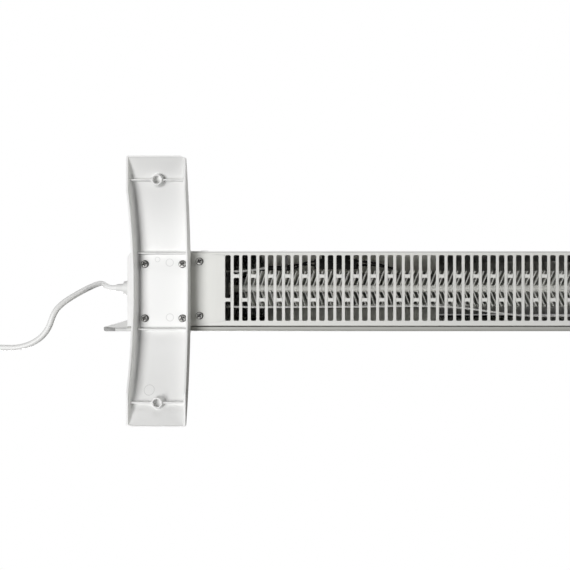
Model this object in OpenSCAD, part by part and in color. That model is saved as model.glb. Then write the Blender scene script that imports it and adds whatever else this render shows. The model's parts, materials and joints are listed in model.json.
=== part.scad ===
// Electric convector heater on two moulded feet, as an assembly of separate pieces.
// The heater runs along X, its front faces -Y, and it stands on the floor at z = 0.
// The mains lead leaves the end cap on the +X side.

/* [Case] */
// Width across the two end caps
case_w = 588; // [540:2:700]
// Depth from the front face to the back face
case_d = 75; // [74:0.5:90]
// Height of the case above the feet
case_h = 400; // [390:5:500]
// Thickness of the steel sheet
sheet_t = 1; // [0.8:0.1:1.2]
// Length of each plastic end cap
cap_len = 58; // [58:1:66]
// Wall of the plastic end caps
cap_wall = 2; // [1.8:0.1:2.4]
// Radius of the end cap's rear outer corner
cap_corner_r = 8; // [5:0.5:10]
// Length of the tongue that slides into the steel case
cap_tongue = 16; // [15:0.5:18]
// How far the front panel reaches past each end cap
wing = 22; // [18:1:30]
// Depth of the front panel's folded edge
panel_edge = 4.2; // [3.8:0.1:5]
// Depth of the side trim where it meets the end cap
trim_root = 10.1; // [8:0.1:12]
// Wall of the side trim
trim_wall = 1.6; // [1.4:0.1:2]

/* [Bottom grille] */
// Distance between slot columns
slot_pitch = 8; // [7.2:0.1:8]
// Width of a slot
slot_w = 5.2; // [4.4:0.1:5.4]
// Length of the long slots
slot_long = 40.2; // [36:0.1:40.4]
// Length of the short slots
slot_short = 18; // [14:0.1:18]
// Length of the bridge between two slots of a column
slot_bridge = 3.2; // [2.4:0.1:3.2]
// Radius of a slot's corners
slot_corner_r = 1.4; // [0.8:0.1:1.9]
// Strip between the back face and the slots
slot_margin = 3.8; // [3.6:0.1:5]

/* [Top grille] */
// Length of the long outlet slots
outlet_long = 24; // [18:0.5:25]
// Length of the short outlet slots
outlet_short = 10; // [7:0.5:10.5]

/* [Feet] */
// Height of a foot
foot_h = 32; // [30:0.5:40]
// Length of a foot from tip to tip
foot_len = 245; // [230:1:280]
// Width of a foot at its rim
foot_rim_w = 54; // [53:0.5:60]
// Lean of the foot's side walls in degrees
foot_draft = 5; // [3:0.5:6]
// Thickness of the foot's walls
foot_wall = 2; // [1.8:0.1:2.4]
// Thickness of the foot's roof
foot_roof = 3.5; // [3:0.1:4]
// Thickness of the pad under the case
foot_pad_t = 4.5; // [4.2:0.1:5.5]
// Height of a foot's tip
foot_tip_h = 4; // [3.5:0.1:6]
// How far the roof's arc would rise above the case's seat
foot_crown = 1; // [0.6:0.1:1.5]
// Rise of the arch between the two treads
foot_arch = 14; // [8:0.5:15]
// Length of the flat tread at each tip
foot_tread = 30.5; // [26:0.5:34]
// Distance from the case's end to the middle of the foot
foot_inset = 35.3; // [34:0.1:37]
// Distance from a foot's tip to its glide socket
socket_inset = 21.3; // [20:0.1:25]
// Radius of the glide socket's bore
socket_r = 3.6; // [3:0.1:3.8]
// Depth of the glide socket's bore
socket_depth = 7.5; // [6:0.5:7.5]
// Spacing of the foot screws along the heater
foot_screw_x = 35; // [33:0.5:36]
// Spacing of the foot screws across the heater
foot_screw_y = 50.4; // [47:0.2:51]

/* [Heating element] */
// Distance between fins
fin_pitch = 4.2; // [3.8:0.1:6]
// Thickness of a fin
fin_t = 0.8; // [0.6:0.05:1.1]
// Angle of the fins to the tube in degrees
fin_angle = 68; // [60:1:75]
// Reach of the fins to each side of the tube
fin_reach = 17; // [14:0.5:17.5]
// Height of a fin at its tip
fin_h = 24; // [16:0.5:26]
// Radius of the element's tube
tube_r = 3.5; // [3:0.1:3.8]
// Radius of the heating rod in the tube
rod_r = 2.1; // [1.6:0.1:2.3]
// Height of the element above the bottom grille
element_rise = 40; // [38:0.5:50]

/* [Controls] */
// Radius of the thermostat knob
knob_r = 18; // [15:0.5:19]
// Height of the thermostat knob
knob_h = 13.5; // [11:0.5:15]
// Radius of the thermostat shaft
shaft_r = 3; // [2.5:0.1:3.4]
// Distance from the top of the case down to the knob's axis
knob_drop = 56; // [54:1:64]
// Width of the control plate
plate_w = 50; // [44:1:52]
// Height of the control plate
plate_h = 118; // [110:1:122]
// Width of a rocker switch's bezel
bezel_w = 15; // [13.4:0.1:16]
// Height of a rocker switch's bezel
bezel_h = 21; // [20.4:0.2:24]
// Distance between the two rocker switches
switch_pitch = 20; // [18:0.5:22]
// Tilt of a rocker to each side in degrees
rocker_tilt = 9; // [6:0.5:9]
// Radius of the pilot lamp's lens
lamp_r = 4; // [3:0.1:4.5]

/* [Tip switch] */
// Length of the tip switch's housing
tip_w = 40; // [38:0.5:46]
// Depth of the tip switch's housing with its cover
tip_d = 9.4; // [9:0.1:10]
// Height of the tip switch's housing
tip_h = 26; // [25:0.5:30]
// Radius of the pendulum's weight
pendulum_r = 5.5; // [4:0.1:5.8]
// Length of the pendulum
pendulum_len = 12.5; // [11:0.1:12.6]
// Radius of the pendulum's pin
pendulum_pin_r = 0.9; // [0.7:0.05:1.2]

/* [Mains lead] */
// Diameter of the mains lead
cord_d = 5.2; // [4.8:0.1:5.4]
// Height of the cord gland above the bottom grille
gland_rise = 12; // [11:0.5:14]
// Radius of the gland's flange
gland_r = 7.3; // [6:0.1:8]
// Length of the gland's flange
gland_flange = 6; // [4:0.1:7]
// Spacing of the plug's pins
pin_spacing = 19; // [19:0.1:19.2]
// Diameter of a plug pin
pin_d = 4.8; // [4:0.1:4.8]
// Length of a plug pin
pin_len = 19; // [17:0.1:20]

/* [Fasteners] */
// Radius of a screw's shank
screw_r = 1.6; // [1.3:0.05:1.7]
// Radius of a foot or grille screw's head
screw_head_r = 3.55; // [3:0.05:3.8]
// Height of a screw's head
screw_head_h = 2.2; // [1.6:0.1:2.6]

/* [Hidden] */
$fn = 48;
seat = 0.2;
bore_gap = 0.1;
run_gap = 0.06;
body_gap = 0.3;
eps = 0.01;

half_w = case_w / 2;
steel_x = half_w - cap_len;
tongue_x = steel_x - cap_tongue;
front_y = -case_d / 2;
back_y = case_d / 2;
base_z = foot_h;
top_z = foot_h + case_h;
back_in_y = back_y - sheet_t;
panel_in_y = front_y + sheet_t;
edge_y = front_y + panel_edge;
cap_front_y = edge_y + body_gap;
grille_gap = 1;
grille_front_y = edge_y + grille_gap;
grille_back_y = back_in_y - seat;
slot_field = slot_long + slot_bridge + slot_short;
slots_y1 = back_y - slot_margin;
slots_y0 = slots_y1 - slot_field;
foot_x = half_w - foot_inset;
boss_r = 4;
boss_h = 12;
slot_columns = 2 * floor((tongue_x - 18) / slot_pitch) + 1;

grille_screw_x = tongue_x + 6.5;
grille_screw_ys = [slots_y0 + 4.8, slots_y1 - 5.9];
rear_screw_x = tongue_x + 8;
rear_screw_zs = [base_z + 28, base_z + 0.37 * case_h, base_z + 0.67 * case_h, top_z - 22];
clip_x = half_w - 31;
clip_zs = [base_z + 68, base_z + 0.5 * case_h, top_z - 68];
clip_stem_r = 2.5;

element_z = base_z + element_rise;
element_y = 2.4;
bracket_x = tongue_x - 13;
fin_count = floor(2 * (bracket_x - 17) / fin_pitch);
bush_r = 6;
bush_flange_r = 9;
bracket_z0 = element_z - 27;
bracket_z1 = element_z + 33;
bracket_y0 = cap_front_y + 4;
bracket_fold = 12;

shield_t = 0.6;
shield_x0 = 2;
shield_x1 = bracket_x - 27;
shield_z0 = base_z + 13;
shield_lip = 12;
deflector_t = 0.8;
deflector_z = top_z - 48;

end_wall_x = half_w - cap_wall;
plate_t = 1;
plate_face_x = half_w + plate_t;
plate_y = 2;
knob_z = top_z - knob_drop;
plate_z1 = top_z - 20;
plate_z0 = plate_z1 - plate_h;
plate_mid_z = (plate_z0 + plate_z1) / 2;
switch_z = plate_z0 + 26;
lamp_z = (knob_z - knob_r + switch_z + bezel_h / 2) / 2;
switch_wall = 1;
bezel_lip = 0.9;
switch_body_w = bezel_w - 2 * bezel_lip;
switch_body_h = bezel_h - 2 * bezel_lip;
switch_depth = 17;
bezel_t = 2;
rocker_axis_x = plate_face_x + bezel_t - 5.5;
rocker_half = switch_body_h / 2 - switch_wall - 1.2;
rocker_w = switch_body_w - 2 * switch_wall - 2 * body_gap;
rocker_pin_r = 0.8;
thermostat_w = 30;
thermostat_d = 28;
thermostat_x0 = end_wall_x - body_gap - thermostat_d;
thermostat_screw = knob_r - 8;

tip_x = bracket_x - 106.2;
tip_back_y = back_y - 6.9;
tip_front_y = tip_back_y - tip_d;
tip_z0 = base_z + 14;
tip_wall = 1.2;
tip_cover = 1;
pivot_z = tip_z0 + tip_h - 5.5;
pendulum_t = tip_d - tip_cover - tip_wall - 2 * body_gap - 0.4;
pendulum_mid_y = (tip_front_y + tip_cover + tip_back_y - tip_wall) / 2;

cutout_x = bracket_x - 52.6;
cutout_y = back_y - 15.5;
cutout_z1 = element_z - fin_h / 2 - 2;
tip_screw_z = tip_z0 + 18;
cutout_arm_t = 1;
cutout_r = 2.1;
cutout_half = 11;
cutout_pin = 1.5;
cutout_z = cutout_z1 - 3.2;
cutout_arm_x = cutout_x - 4.4;
cutout_end = cutout_x + cutout_half + cutout_pin;

cord_r = cord_d / 2;
gland_y = 3;
gland_z = base_z + gland_rise;
gland_sleeve = 13.3;
gland_barrel_r = 4.5;
gland_barrel = 10;
gland_end_x = half_w + gland_sleeve;
cord_tail_x = half_w - 36;
clamp_x = half_w - 32;
clamp_w = 8;

block_x0 = half_w - 48;
block_w = 30;
block_z0 = base_z + 28;
block_d = 13;
block_h = 16;

block_y1 = back_y - cap_wall - seat;
block_y0 = block_y1 - block_d;

// The free mains lead, out of the gland, down to the floor and on to the coil:
// distance past the gland along X, place along Y, and height where the gland is at 44
cord_route = [
    [0, 3, 44], [2.6, 3, 44], [5.2, 3, 44], [8.6, 4.1, 43.8], [11.6, 6.1, 43.2], [14.6, 7.2, 41.8],
    [17.6, 6.4, 39.6], [20.6, 4.7, 36.4], [23.6, 2.6, 31.9], [26, 0.5, 26.4], [28, -1.6, 21],
    [30.4, -4, 15.8], [33.4, -6.8, 11.2], [37, -10.2, 7.4], [40.8, -14.4, 4.6], [43.8, -19.2, 3],
    [46, -24.4, 2.6], [48, -30, 2.6], [51, -35.8, 2.6], [55.6, -41.2, 2.6], [62, -45.8, 2.6],
    [70, -49.2, 2.6], [79, -51, 2.6], [92, -51, 2.6],
    [112, -51, 2.6], [124, -51, 2.6], [130, -51, 2.6], [136, -51, 2.6]
];
cord_points = [for (p = cord_route)
    [gland_end_x + p[0], p[1], cord_r + (p[2] - 2.6) * (gland_z - cord_r) / 41.4]];
cord_steps = 3;
cord_sides = 8;

// The coil that holds the rest of the lead, just past the picture's edge: it winds inwards
// on the floor, climbs one layer where it turns back, and winds outwards on top of itself
coil_x = gland_end_x + 136 + cord_d;
coil_out_r = 39;
coil_y = -51 + coil_out_r;
coil_rings = 24;
coil_half = 75;
coil_climb = 6;
coil_pitch = cord_d + 0.5;
coil_sides = 6;
coil_top_z = cord_r + coil_pitch;

// From the coil's upper layer to the plug
tail_x = coil_x + coil_out_r;
tail_y = coil_y + cord_d;
plug_w = 35.3;
plug_h = 26;
plug_z = plug_h / 2;
tail_points = [
    [tail_x, tail_y, coil_top_z], [tail_x, tail_y + 2.6, coil_top_z], [tail_x, tail_y + 5.2, coil_top_z],
    [tail_x - 0.4, tail_y + 16, coil_top_z], [tail_x - 1.6, tail_y + 30, coil_top_z + 0.4],
    [tail_x - 2.6, tail_y + 44, coil_top_z + 2.4], [tail_x - 3, tail_y + 56, plug_z - 0.6],
    [tail_x - 3, tail_y + 64, plug_z], [tail_x - 3, tail_y + 68, plug_z], [tail_x - 3, tail_y + 72, plug_z]
];

// Slope at point b of a curve through a, b and c, whose parameter grows with the square
// root of each distance; where b is an end, the slope of the neighbouring chord
function knot(a, b) = sqrt(norm(b - a));
function slope_at(a, b, c) = let (u = knot(a, b), v = knot(b, c))
    u == 0 ? (c - b) / v : v == 0 ? (b - a) / u : (b - a) / u - (c - a) / (u + v) + (c - b) / v;

// Point on a smooth curve through four points, at share t between the middle two
function curve_point(a, b, c, d, t) = let (v = knot(b, c), t2 = t * t, t3 = t * t * t)
    b * (2 * t3 - 3 * t2 + 1) + v * slope_at(a, b, c) * (t3 - 2 * t2 + t)
    + c * (3 * t2 - 2 * t3) + v * slope_at(b, c, d) * (t3 - t2);

// The points of a smooth curve through p, with n steps between neighbours, or more where
// a step would be longer than longest
function smooth_path(p, n, longest = 1000) = let (last = len(p) - 1) concat(
    [for (i = [0:last - 1]) let (steps = max(n, ceil(norm(p[i + 1] - p[i]) / longest)))
        for (k = [0:steps - 1])
            curve_point(p[max(i - 1, 0)], p[i], p[i + 1], p[min(i + 2, last)], k / steps)],
    [p[last]]);

function unit(v) = v / norm(v);

// Direction of the path at point i
function heading(p, i) = unit(p[min(i + 1, len(p) - 1)] - p[max(i - 1, 0)]);

// One side vector for each point, carried along the path without twist
function carried_sides(p, first) = [
    for (i = 0, s = unit(first - heading(p, 0) * (first * heading(p, 0)));
        i < len(p);
        i = i + 1,
        s = i < len(p) ? unit(s - heading(p, i) * (s * heading(p, i))) : s) s];

// A round tube of radius r swept along the points p
module swept_tube(p, r, sides, first = [0, 0, 1]) {
    side = carried_sides(p, first);
    rings = [for (i = [0:len(p) - 1]) for (k = [0:sides - 1])
        let (a = 360 * (k + 0.5) / sides, u = side[i], v = cross(heading(p, i), u))
        p[i] + r * (cos(a) * u + sin(a) * v)];
    n = len(p);
    walls = [for (i = [0:n - 2]) for (k = [0:sides - 1]) for (half = [0, 1])
        let (a = i * sides + k, b = i * sides + (k + 1) % sides)
        half == 0 ? [a, a + sides, b] : [b, a + sides, b + sides]];
    start = [for (k = [1:sides - 2]) [0, k, k + 1]];
    finish = [for (k = [1:sides - 2]) [(n - 1) * sides, (n - 1) * sides + k + 1, (n - 1) * sides + k]];
    polyhedron(points = rings, faces = concat(start, walls, finish));
}

// A thin insulated wire through its points, straight where it leaves each terminal:
// away_first and away_last point away from the terminal
module wire(p, away_first, away_last, r = 1) {
    last = len(p) - 1;
    inner = [for (i = [1:last - 1]) p[i]];
    ends = [for (d = [0, 1.2, 2.4]) p[0] + d * away_first];
    tips = [for (d = [2.4, 1.2, 0]) p[last] + d * away_last];
    swept_tube(smooth_path(concat(ends, inner, tips), 3, 8), r, 8, [0.36, 0.48, 0.8]);
}

module rounded_rect(w, h, r) {
    translate([-w / 2 + r, -h / 2]) square([w - 2 * r, h]);
    translate([-w / 2, -h / 2 + r]) square([w, h - 2 * r]);
    for (x = [-1, 1], y = [-1, 1]) translate([x * (w / 2 - r), y * (h / 2 - r)]) circle(r);
}

// Box from one corner to the opposite one
module block(a, b) {
    translate(a) cube(b - a);
}

module along_x() {
    rotate([90, 0, 90]) children();
}

// A rod of radius r from x0 to x1
module rod_x(x0, x1, r) {
    translate([x0, 0, 0]) rotate([0, 90, 0]) cylinder(h = x1 - x0, r = r);
}

module rod_y(y0, y1, r) {
    translate([0, y0, 0]) rotate([-90, 0, 0]) cylinder(h = y1 - y0, r = r);
}

// Places for whatever sits at both ends of the heater
module both_ends() {
    children();
    mirror([1, 0, 0]) children();
}

// Slot columns whose long and short slots change places from column to column
module slot_columns_2d(first_y, long, short, bridge) {
    first_x = (slot_columns - 1) / 2 * slot_pitch;
    for (i = [0:slot_columns - 1]) translate([first_x - i * slot_pitch, first_y]) {
        near = i % 2 == 0 ? long : short;
        far = i % 2 == 0 ? short : long;
        translate([0, -near / 2]) rounded_rect(slot_w, near, slot_corner_r);
        translate([0, -near - bridge - far / 2]) rounded_rect(slot_w, far, slot_corner_r);
    }
}

// Steel case

// The back sheet, bent over at the top, where it holds the outlet slots
module rear_panel() color("whitesmoke") {
    keyhole_r = 5;
    keyhole_x = 150;
    keyhole_z = top_z - 60;
    x1 = steel_x - seat;
    difference() {
        union() {
            block([-x1, back_in_y, base_z], [x1, back_y, top_z]);
            translate([0, 0, top_z - sheet_t]) linear_extrude(sheet_t) difference() {
                translate([-x1, edge_y + body_gap]) square([2 * x1, back_y - edge_y - body_gap]);
                slot_columns_2d(back_y - 15.5, outlet_long, outlet_short, slot_bridge);
            }
        }
        for (x = [-keyhole_x, keyhole_x]) {
            translate([x, 0, keyhole_z]) rod_y(back_in_y - 1, back_y + 1, keyhole_r);
            block([x - keyhole_r / 2, back_in_y - 1, keyhole_z], [x + keyhole_r / 2, back_y + 1, keyhole_z + 14]);
        }
        both_ends() for (z = rear_screw_zs) translate([rear_screw_x, 0, z]) screw_hole_y();
        translate([tip_x, 0, tip_screw_z]) screw_hole_y();
        rivet_holes();
    }
}

// Outline of the front panel, seen along X, drawn in from its outer face by i
module panel_section(i) {
    r = 2.5;
    w = panel_edge + 2 * r;
    intersection() {
        translate([front_y + w / 2 + i / 2, (base_z + top_z) / 2]) rounded_rect(w - i, case_h - 2 * i, r - i);
        translate([front_y, base_z]) square([panel_edge - i, case_h]);
    }
}

module front_panel() color("white") {
    lip = 10;
    difference() {
        translate([-half_w, 0, 0]) along_x() linear_extrude(case_w) difference() {
            panel_section(0);
            panel_section(sheet_t);
            translate([front_y + sheet_t + 1, base_z + lip]) square([panel_edge, case_h - 2 * lip]);
        }
    }
}

module bottom_grille() color("gainsboro") {
    difference() {
        translate([0, 0, base_z]) linear_extrude(sheet_t) difference() {
            translate([-steel_x + seat, grille_front_y])
                square([2 * (steel_x - seat), grille_back_y - grille_front_y]);
            slot_columns_2d(slots_y1, slot_long, slot_short, slot_bridge);
        }
        both_ends() for (y = grille_screw_ys)
            translate([grille_screw_x, y, base_z - 1]) cylinder(h = sheet_t + 2, r = screw_r + bore_gap);
    }
}

module side_trim() color("white") {
    tip_x1 = half_w + wing;
    tip_r = 1.8;
    tongue = 10;
    block([half_w - tongue, panel_in_y + seat, base_z + 4], [half_w + eps, edge_y - sheet_t - seat, top_z - 4]);
    translate([0, 0, base_z]) difference() {
        linear_extrude(case_h) {
            difference() {
                polygon([[half_w, front_y], [tip_x1, front_y], [tip_x1, edge_y], [half_w, front_y + trim_root]]);
                translate([tip_x1 - tip_r, front_y - eps]) square([tip_r + eps, tip_r + eps]);
            }
            translate([tip_x1 - tip_r, front_y + tip_r]) circle(tip_r);
        }
        translate([0, 0, trim_wall]) linear_extrude(case_h - 2 * trim_wall)
            polygon([[half_w - eps, front_y + trim_wall + 2], [half_w + wing * 0.62, front_y + trim_wall + 2],
                [half_w - eps, front_y + trim_root - trim_wall]]);
    }
}

module side_trim_right() {
    side_trim();
}

module side_trim_left() {
    mirror([1, 0, 0]) side_trim();
}

// Plan of an end cap, drawn in by i, from x0 to the end
module cap_plan(x0, i) {
    r = cap_corner_r - i;
    x1 = half_w - i;
    y0 = cap_front_y + i;
    y1 = back_y - i;
    translate([x0, y0]) square([x1 - r - x0, y1 - y0]);
    translate([x0, y0]) square([x1 - x0, y1 - r - y0]);
    translate([x1 - r, y1 - r]) circle(r);
}

// The tongue's lower front edge stands back, so that the gap before the panel stays open
module end_cap_shell() {
    tongue_in = sheet_t + seat;
    hem_relief = 14;
    translate([0, 0, base_z]) difference() {
        linear_extrude(case_h) cap_plan(steel_x, 0);
        translate([0, 0, cap_wall]) linear_extrude(case_h - 2 * cap_wall)
            cap_plan(steel_x - 1, cap_wall);
    }
    difference() {
        block([tongue_x, cap_front_y, base_z + tongue_in], [steel_x + eps, grille_back_y, top_z - tongue_in]);
        block([tongue_x - 1, cap_front_y + cap_wall, base_z + cap_wall + tongue_in],
            [steel_x + 1, grille_back_y - cap_wall, top_z - cap_wall - tongue_in]);
        block([tongue_x - 1, cap_front_y - 1, base_z], [steel_x - eps, grille_front_y, base_z + hem_relief]);
    }
    for (y = grille_screw_ys)
        translate([grille_screw_x, y, base_z + tongue_in]) cylinder(h = boss_h, r = boss_r);
    for (z = rear_screw_zs)
        translate([rear_screw_x, 0, z]) rod_y(grille_back_y - boss_h, grille_back_y, boss_r);
    for (x = [-1, 1], y = [-1, 1])
        translate([foot_x + x * foot_screw_x / 2, y * foot_screw_y / 2, base_z]) cylinder(h = boss_h + 2, r = boss_r);
}

// The screw and clip holes that both caps have
module cap_holes() {
    hole_r = screw_r + bore_gap;
    for (y = grille_screw_ys)
        translate([grille_screw_x, y, base_z]) cylinder(h = boss_h, r = hole_r);
    for (z = rear_screw_zs)
        translate([rear_screw_x, 0, z]) rod_y(grille_back_y - boss_h + 1.5, back_y, hole_r);
    for (x = [-1, 1], y = [-1, 1])
        translate([foot_x + x * foot_screw_x / 2, y * foot_screw_y / 2, base_z - 1]) cylinder(h = boss_h + 1, r = hole_r);
    for (z = clip_zs)
        translate([clip_x, 0, z]) rod_y(cap_front_y - 1, cap_front_y + cap_wall + 1, clip_stem_r + bore_gap);
}

module end_cap_right() color("white") {
    difference() {
        end_cap_shell();
        cap_holes();
        translate([0, gland_y, gland_z]) rod_x(end_wall_x - 1, half_w + 1, gland_barrel_r + bore_gap);
        translate([0, plate_y, knob_z]) {
            rod_x(end_wall_x - 1, half_w + 1, shaft_r + 0.6);
            for (y = [-1, 1]) translate([0, y * thermostat_screw, 0])
                rod_x(end_wall_x - 1, half_w + 1, screw_r + bore_gap);
        }
        for (s = [-1, 1])
            translate([end_wall_x - 1, plate_y + s * switch_pitch / 2 - switch_body_w / 2 - seat,
                switch_z - switch_body_h / 2 - seat])
                cube([cap_wall + 2, switch_body_w + 2 * seat, switch_body_h + 2 * seat]);
        translate([0, plate_y, lamp_z]) rod_x(end_wall_x - 1, half_w + 1, lamp_r + bore_gap);
    }
}

module end_cap_left() color("white") {
    mirror([1, 0, 0]) difference() {
        end_cap_shell();
        cap_holes();
    }
}

// Feet

foot_half = foot_len / 2;
foot_lean = foot_h * tan(foot_draft);
socket_z = 3;

// Radius of an arc with the given half chord and rise
function arc_radius(half, rise) = (half * half + rise * rise) / (2 * rise);

roof_top = foot_h + foot_crown;
roof_r = arc_radius(foot_half, roof_top - foot_tip_h);
arch_r = arc_radius(foot_half - foot_tread, foot_arch);

// Disc under the roof's arc, drawn in from the top by i
module foot_roof_2d(i) {
    translate([0, roof_top - roof_r]) circle(roof_r - i, $fn = 240);
}

// Side view of the whole foot: the arc, cut flat for the case and raised into a seat below it
module foot_side_2d() {
    seat_half = case_d / 2 + 1;
    intersection() {
        foot_roof_2d(0);
        translate([-foot_half, 0]) square([foot_len, foot_h]);
    }
    translate([-seat_half, foot_h / 2]) square([2 * seat_half, foot_h / 2]);
}

// Block with leaning sides, drawn in by i, from z0 up to z1
module foot_wedge(i, z0, z1, half_len) {
    w = foot_rim_w / 2 - i;
    lean = tan(foot_draft);
    translate([0, half_len, 0]) rotate([90, 0, 0]) linear_extrude(2 * half_len)
        polygon([[-w + z0 * lean, z0], [w - z0 * lean, z0], [w - z1 * lean, z1], [-w + z1 * lean, z1]]);
}

module foot_socket(y) {
    translate([0, y, socket_z]) cylinder(h = foot_h - 16, r1 = 4.9, r2 = 6.6);
}

module foot_ribs() {
    rib_t = 1.5;
    pad_half = 34.5;
    block([-foot_rim_w, -pad_half, foot_h - foot_pad_t], [foot_rim_w, pad_half, foot_h - 1]);
    for (y = [-pad_half - rib_t / 2, pad_half + rib_t / 2])
        block([-foot_rim_w, y - rib_t / 2, foot_h - 10], [foot_rim_w, y + rib_t / 2, foot_h - 1]);
    for (y = [-1, 1] * (foot_half - socket_inset)) {
        block([-foot_rim_w, y - rib_t / 2, socket_z + 1.5], [foot_rim_w, y + rib_t / 2, foot_h - 1]);
        foot_socket(y);
    }
}

module foot() color("white") {
    translate([foot_x, 0, 0]) difference() {
        intersection() {
            union() {
                difference() {
                    foot_wedge(0, 0, foot_h, foot_half);
                    intersection() {
                        foot_wedge(foot_wall, -1, foot_h, foot_half - 1.2);
                        translate([-foot_rim_w, 0, 0]) along_x() linear_extrude(2 * foot_rim_w)
                            union() {
                                foot_roof_2d(foot_roof);
                                translate([-foot_half, -1]) square([foot_len, 1.5]);
                            }
                    }
                }
                intersection() {
                    foot_wedge(foot_wall / 2, 0, foot_h, foot_half);
                    foot_ribs();
                }
            }
            translate([-foot_rim_w, 0, 0]) along_x() linear_extrude(2 * foot_rim_w) foot_side_2d();
        }
        translate([-foot_rim_w, 0, 0]) along_x() linear_extrude(2 * foot_rim_w)
            translate([0, foot_arch - arch_r]) circle(arch_r, $fn = 240);
        for (y = [-1, 1] * (foot_half - socket_inset))
            translate([0, y, 0]) cylinder(h = socket_z + socket_depth, r = socket_r);
        for (x = [-1, 1], y = [-1, 1]) translate([x * foot_screw_x / 2, y * foot_screw_y / 2, 0]) {
            cylinder(h = foot_h + 1, r = screw_r + bore_gap);
            cylinder(h = foot_h - foot_pad_t, r = screw_head_r + 0.3);
        }
    }
}

module foot_right() {
    foot();
}

module foot_left() {
    mirror([1, 0, 0]) foot();
}

// Fasteners

// A cross-head screw that points up, with the underside of its head at z = 0
module screw(len, head_r = screw_head_r, head_h = screw_head_h) {
    slot = 0.35 * head_h;
    difference() {
        union() {
            translate([0, 0, -head_h]) cylinder(h = head_h, r = head_r);
            translate([0, 0, -eps]) cylinder(h = len + eps, r = screw_r);
        }
        for (a = [45, 135]) translate([0, 0, -head_h]) rotate([0, 0, a])
            cube([1.2 * head_r, 0.24 * head_r, 2 * slot], center = true);
    }
}

module foot_screws() color("dimgray") {
    both_ends() for (x = [-1, 1], y = [-1, 1])
        translate([foot_x + x * foot_screw_x / 2, y * foot_screw_y / 2, foot_h - foot_pad_t])
            screw(foot_pad_t + 10);
}

module grille_screws() color("dimgray") {
    both_ends() for (y = grille_screw_ys)
        translate([grille_screw_x, y, base_z]) screw(9, head_h = 1.6);
}

module rear_screws() color("silver") {
    both_ends() for (z = rear_screw_zs)
        translate([rear_screw_x, back_y, z]) rotate([90, 0, 0]) screw(9, head_h = 1.2);
    translate([tip_x, back_y, tip_screw_z]) rotate([90, 0, 0]) screw(5, head_h = 1.2);
}

module screw_hole_y() {
    rod_y(back_in_y - 6, back_y + 1, screw_r + bore_gap);
}

// Place along X, height, and inner face of what each rivet holds to the rear panel
rivet_r = 1.5;
rivet_shield_y = grille_back_y - shield_t;
rivet_places = concat(
    [for (s = [-1, 1]) for (dz = [-12, 18])
        [s * (bracket_x + bracket_fold / 2), element_z + dz, grille_back_y - sheet_t]],
    [for (x = [-1, 0, 1]) [x * (tongue_x - 40), deflector_z + 5, grille_back_y - deflector_t]],
    [for (x = [shield_x0 + 18, shield_x1 - 10]) for (z = [shield_z0 + 15, deflector_z - shield_lip / 2])
        [x, z, rivet_shield_y]],
    [[cutout_arm_x, cutout_z1 - 6, rivet_shield_y - seat - 1]]);

module rear_rivets() color("silver") {
    for (p = rivet_places) translate([p[0], 0, p[1]]) {
        rod_y(back_y, back_y + 0.8, 2.6);
        rod_y(p[2] - 0.2, back_y + eps, rivet_r);
        rod_y(p[2] - 1.1, p[2] - 0.1, 2.2);
    }
}

module rivet_holes() {
    for (p = rivet_places) translate([p[0], 0, p[1]]) rod_y(p[2] - 1, back_y + 1, rivet_r + bore_gap);
}

// Push-in clips that hold the front panel to the end caps
module panel_clips() color("gray") {
    both_ends() for (z = clip_zs) translate([clip_x, 0, z]) {
        rod_y(panel_in_y, panel_in_y + 1.5, 6);
        rod_y(panel_in_y + 1.4, cap_front_y + cap_wall + 1.4, clip_stem_r);
        rod_y(cap_front_y + cap_wall + seat, cap_front_y + cap_wall + 1.6, 3.4);
    }
}

// Heating element

module element_bracket() color("silver") {
    notch = 14;
    difference() {
        union() {
            block([bracket_x - sheet_t, bracket_y0, bracket_z0], [bracket_x, grille_back_y, bracket_z1]);
            block([bracket_x - sheet_t, grille_back_y - sheet_t, bracket_z0],
                [bracket_x + bracket_fold, grille_back_y, bracket_z1]);
        }
        block([bracket_x - 3, bracket_y0 - 1, bracket_z0 - 1], [bracket_x + 1, element_y - 12, bracket_z0 + notch]);
        block([bracket_x - 3, element_y + 12, bracket_z0 - 1], [bracket_x + 1, element_y + 26, bracket_z0 + notch]);
        translate([0, element_y, element_z]) rod_x(bracket_x - 2, bracket_x + 1, bush_r + bore_gap);
        rivet_holes();
    }
}

module element_bracket_right() {
    element_bracket();
}

module element_bracket_left() {
    mirror([1, 0, 0]) element_bracket();
}

module element_bushes() color("ivory") {
    both_ends() translate([0, element_y, element_z]) difference() {
        union() {
            rod_x(bracket_x - sheet_t - 3, bracket_x + eps, bush_r);
            rod_x(bracket_x, bracket_x + 3, bush_flange_r);
        }
        rod_x(bracket_x - 8, bracket_x + 8, tube_r + bore_gap);
    }
}

// One slanted fin, from the tube out to its tip
module fin(turn) {
    reach = fin_reach / sin(fin_angle);
    root = 2.2;
    rotate([90, 0, turn]) translate([0, 0, -fin_t / 2]) linear_extrude(fin_t)
        polygon([[0, -root], [reach, -fin_h / 2], [reach, fin_h / 2], [0, root]]);
}

module element_body() color("silver") {
    first = fin_count * fin_pitch / 2 + fin_reach / tan(fin_angle) / 2;
    translate([0, element_y, element_z]) difference() {
        union() {
            rod_x(-bracket_x - 6, bracket_x + 6, tube_r);
            for (i = [0:fin_count - 1], side = [-1, 1])
                translate([first - i * fin_pitch, 0, 0]) fin(180 - side * fin_angle);
        }
        rod_x(-bracket_x - 8, bracket_x + 8, rod_r + bore_gap);
    }
}

module heating_rod() color("dimgray") {
    translate([0, element_y, element_z]) {
        rod_x(-bracket_x - 8, bracket_x + 8, rod_r);
        rod_x(-bracket_x - 17, bracket_x + 17, 1.2);
    }
}

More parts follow.
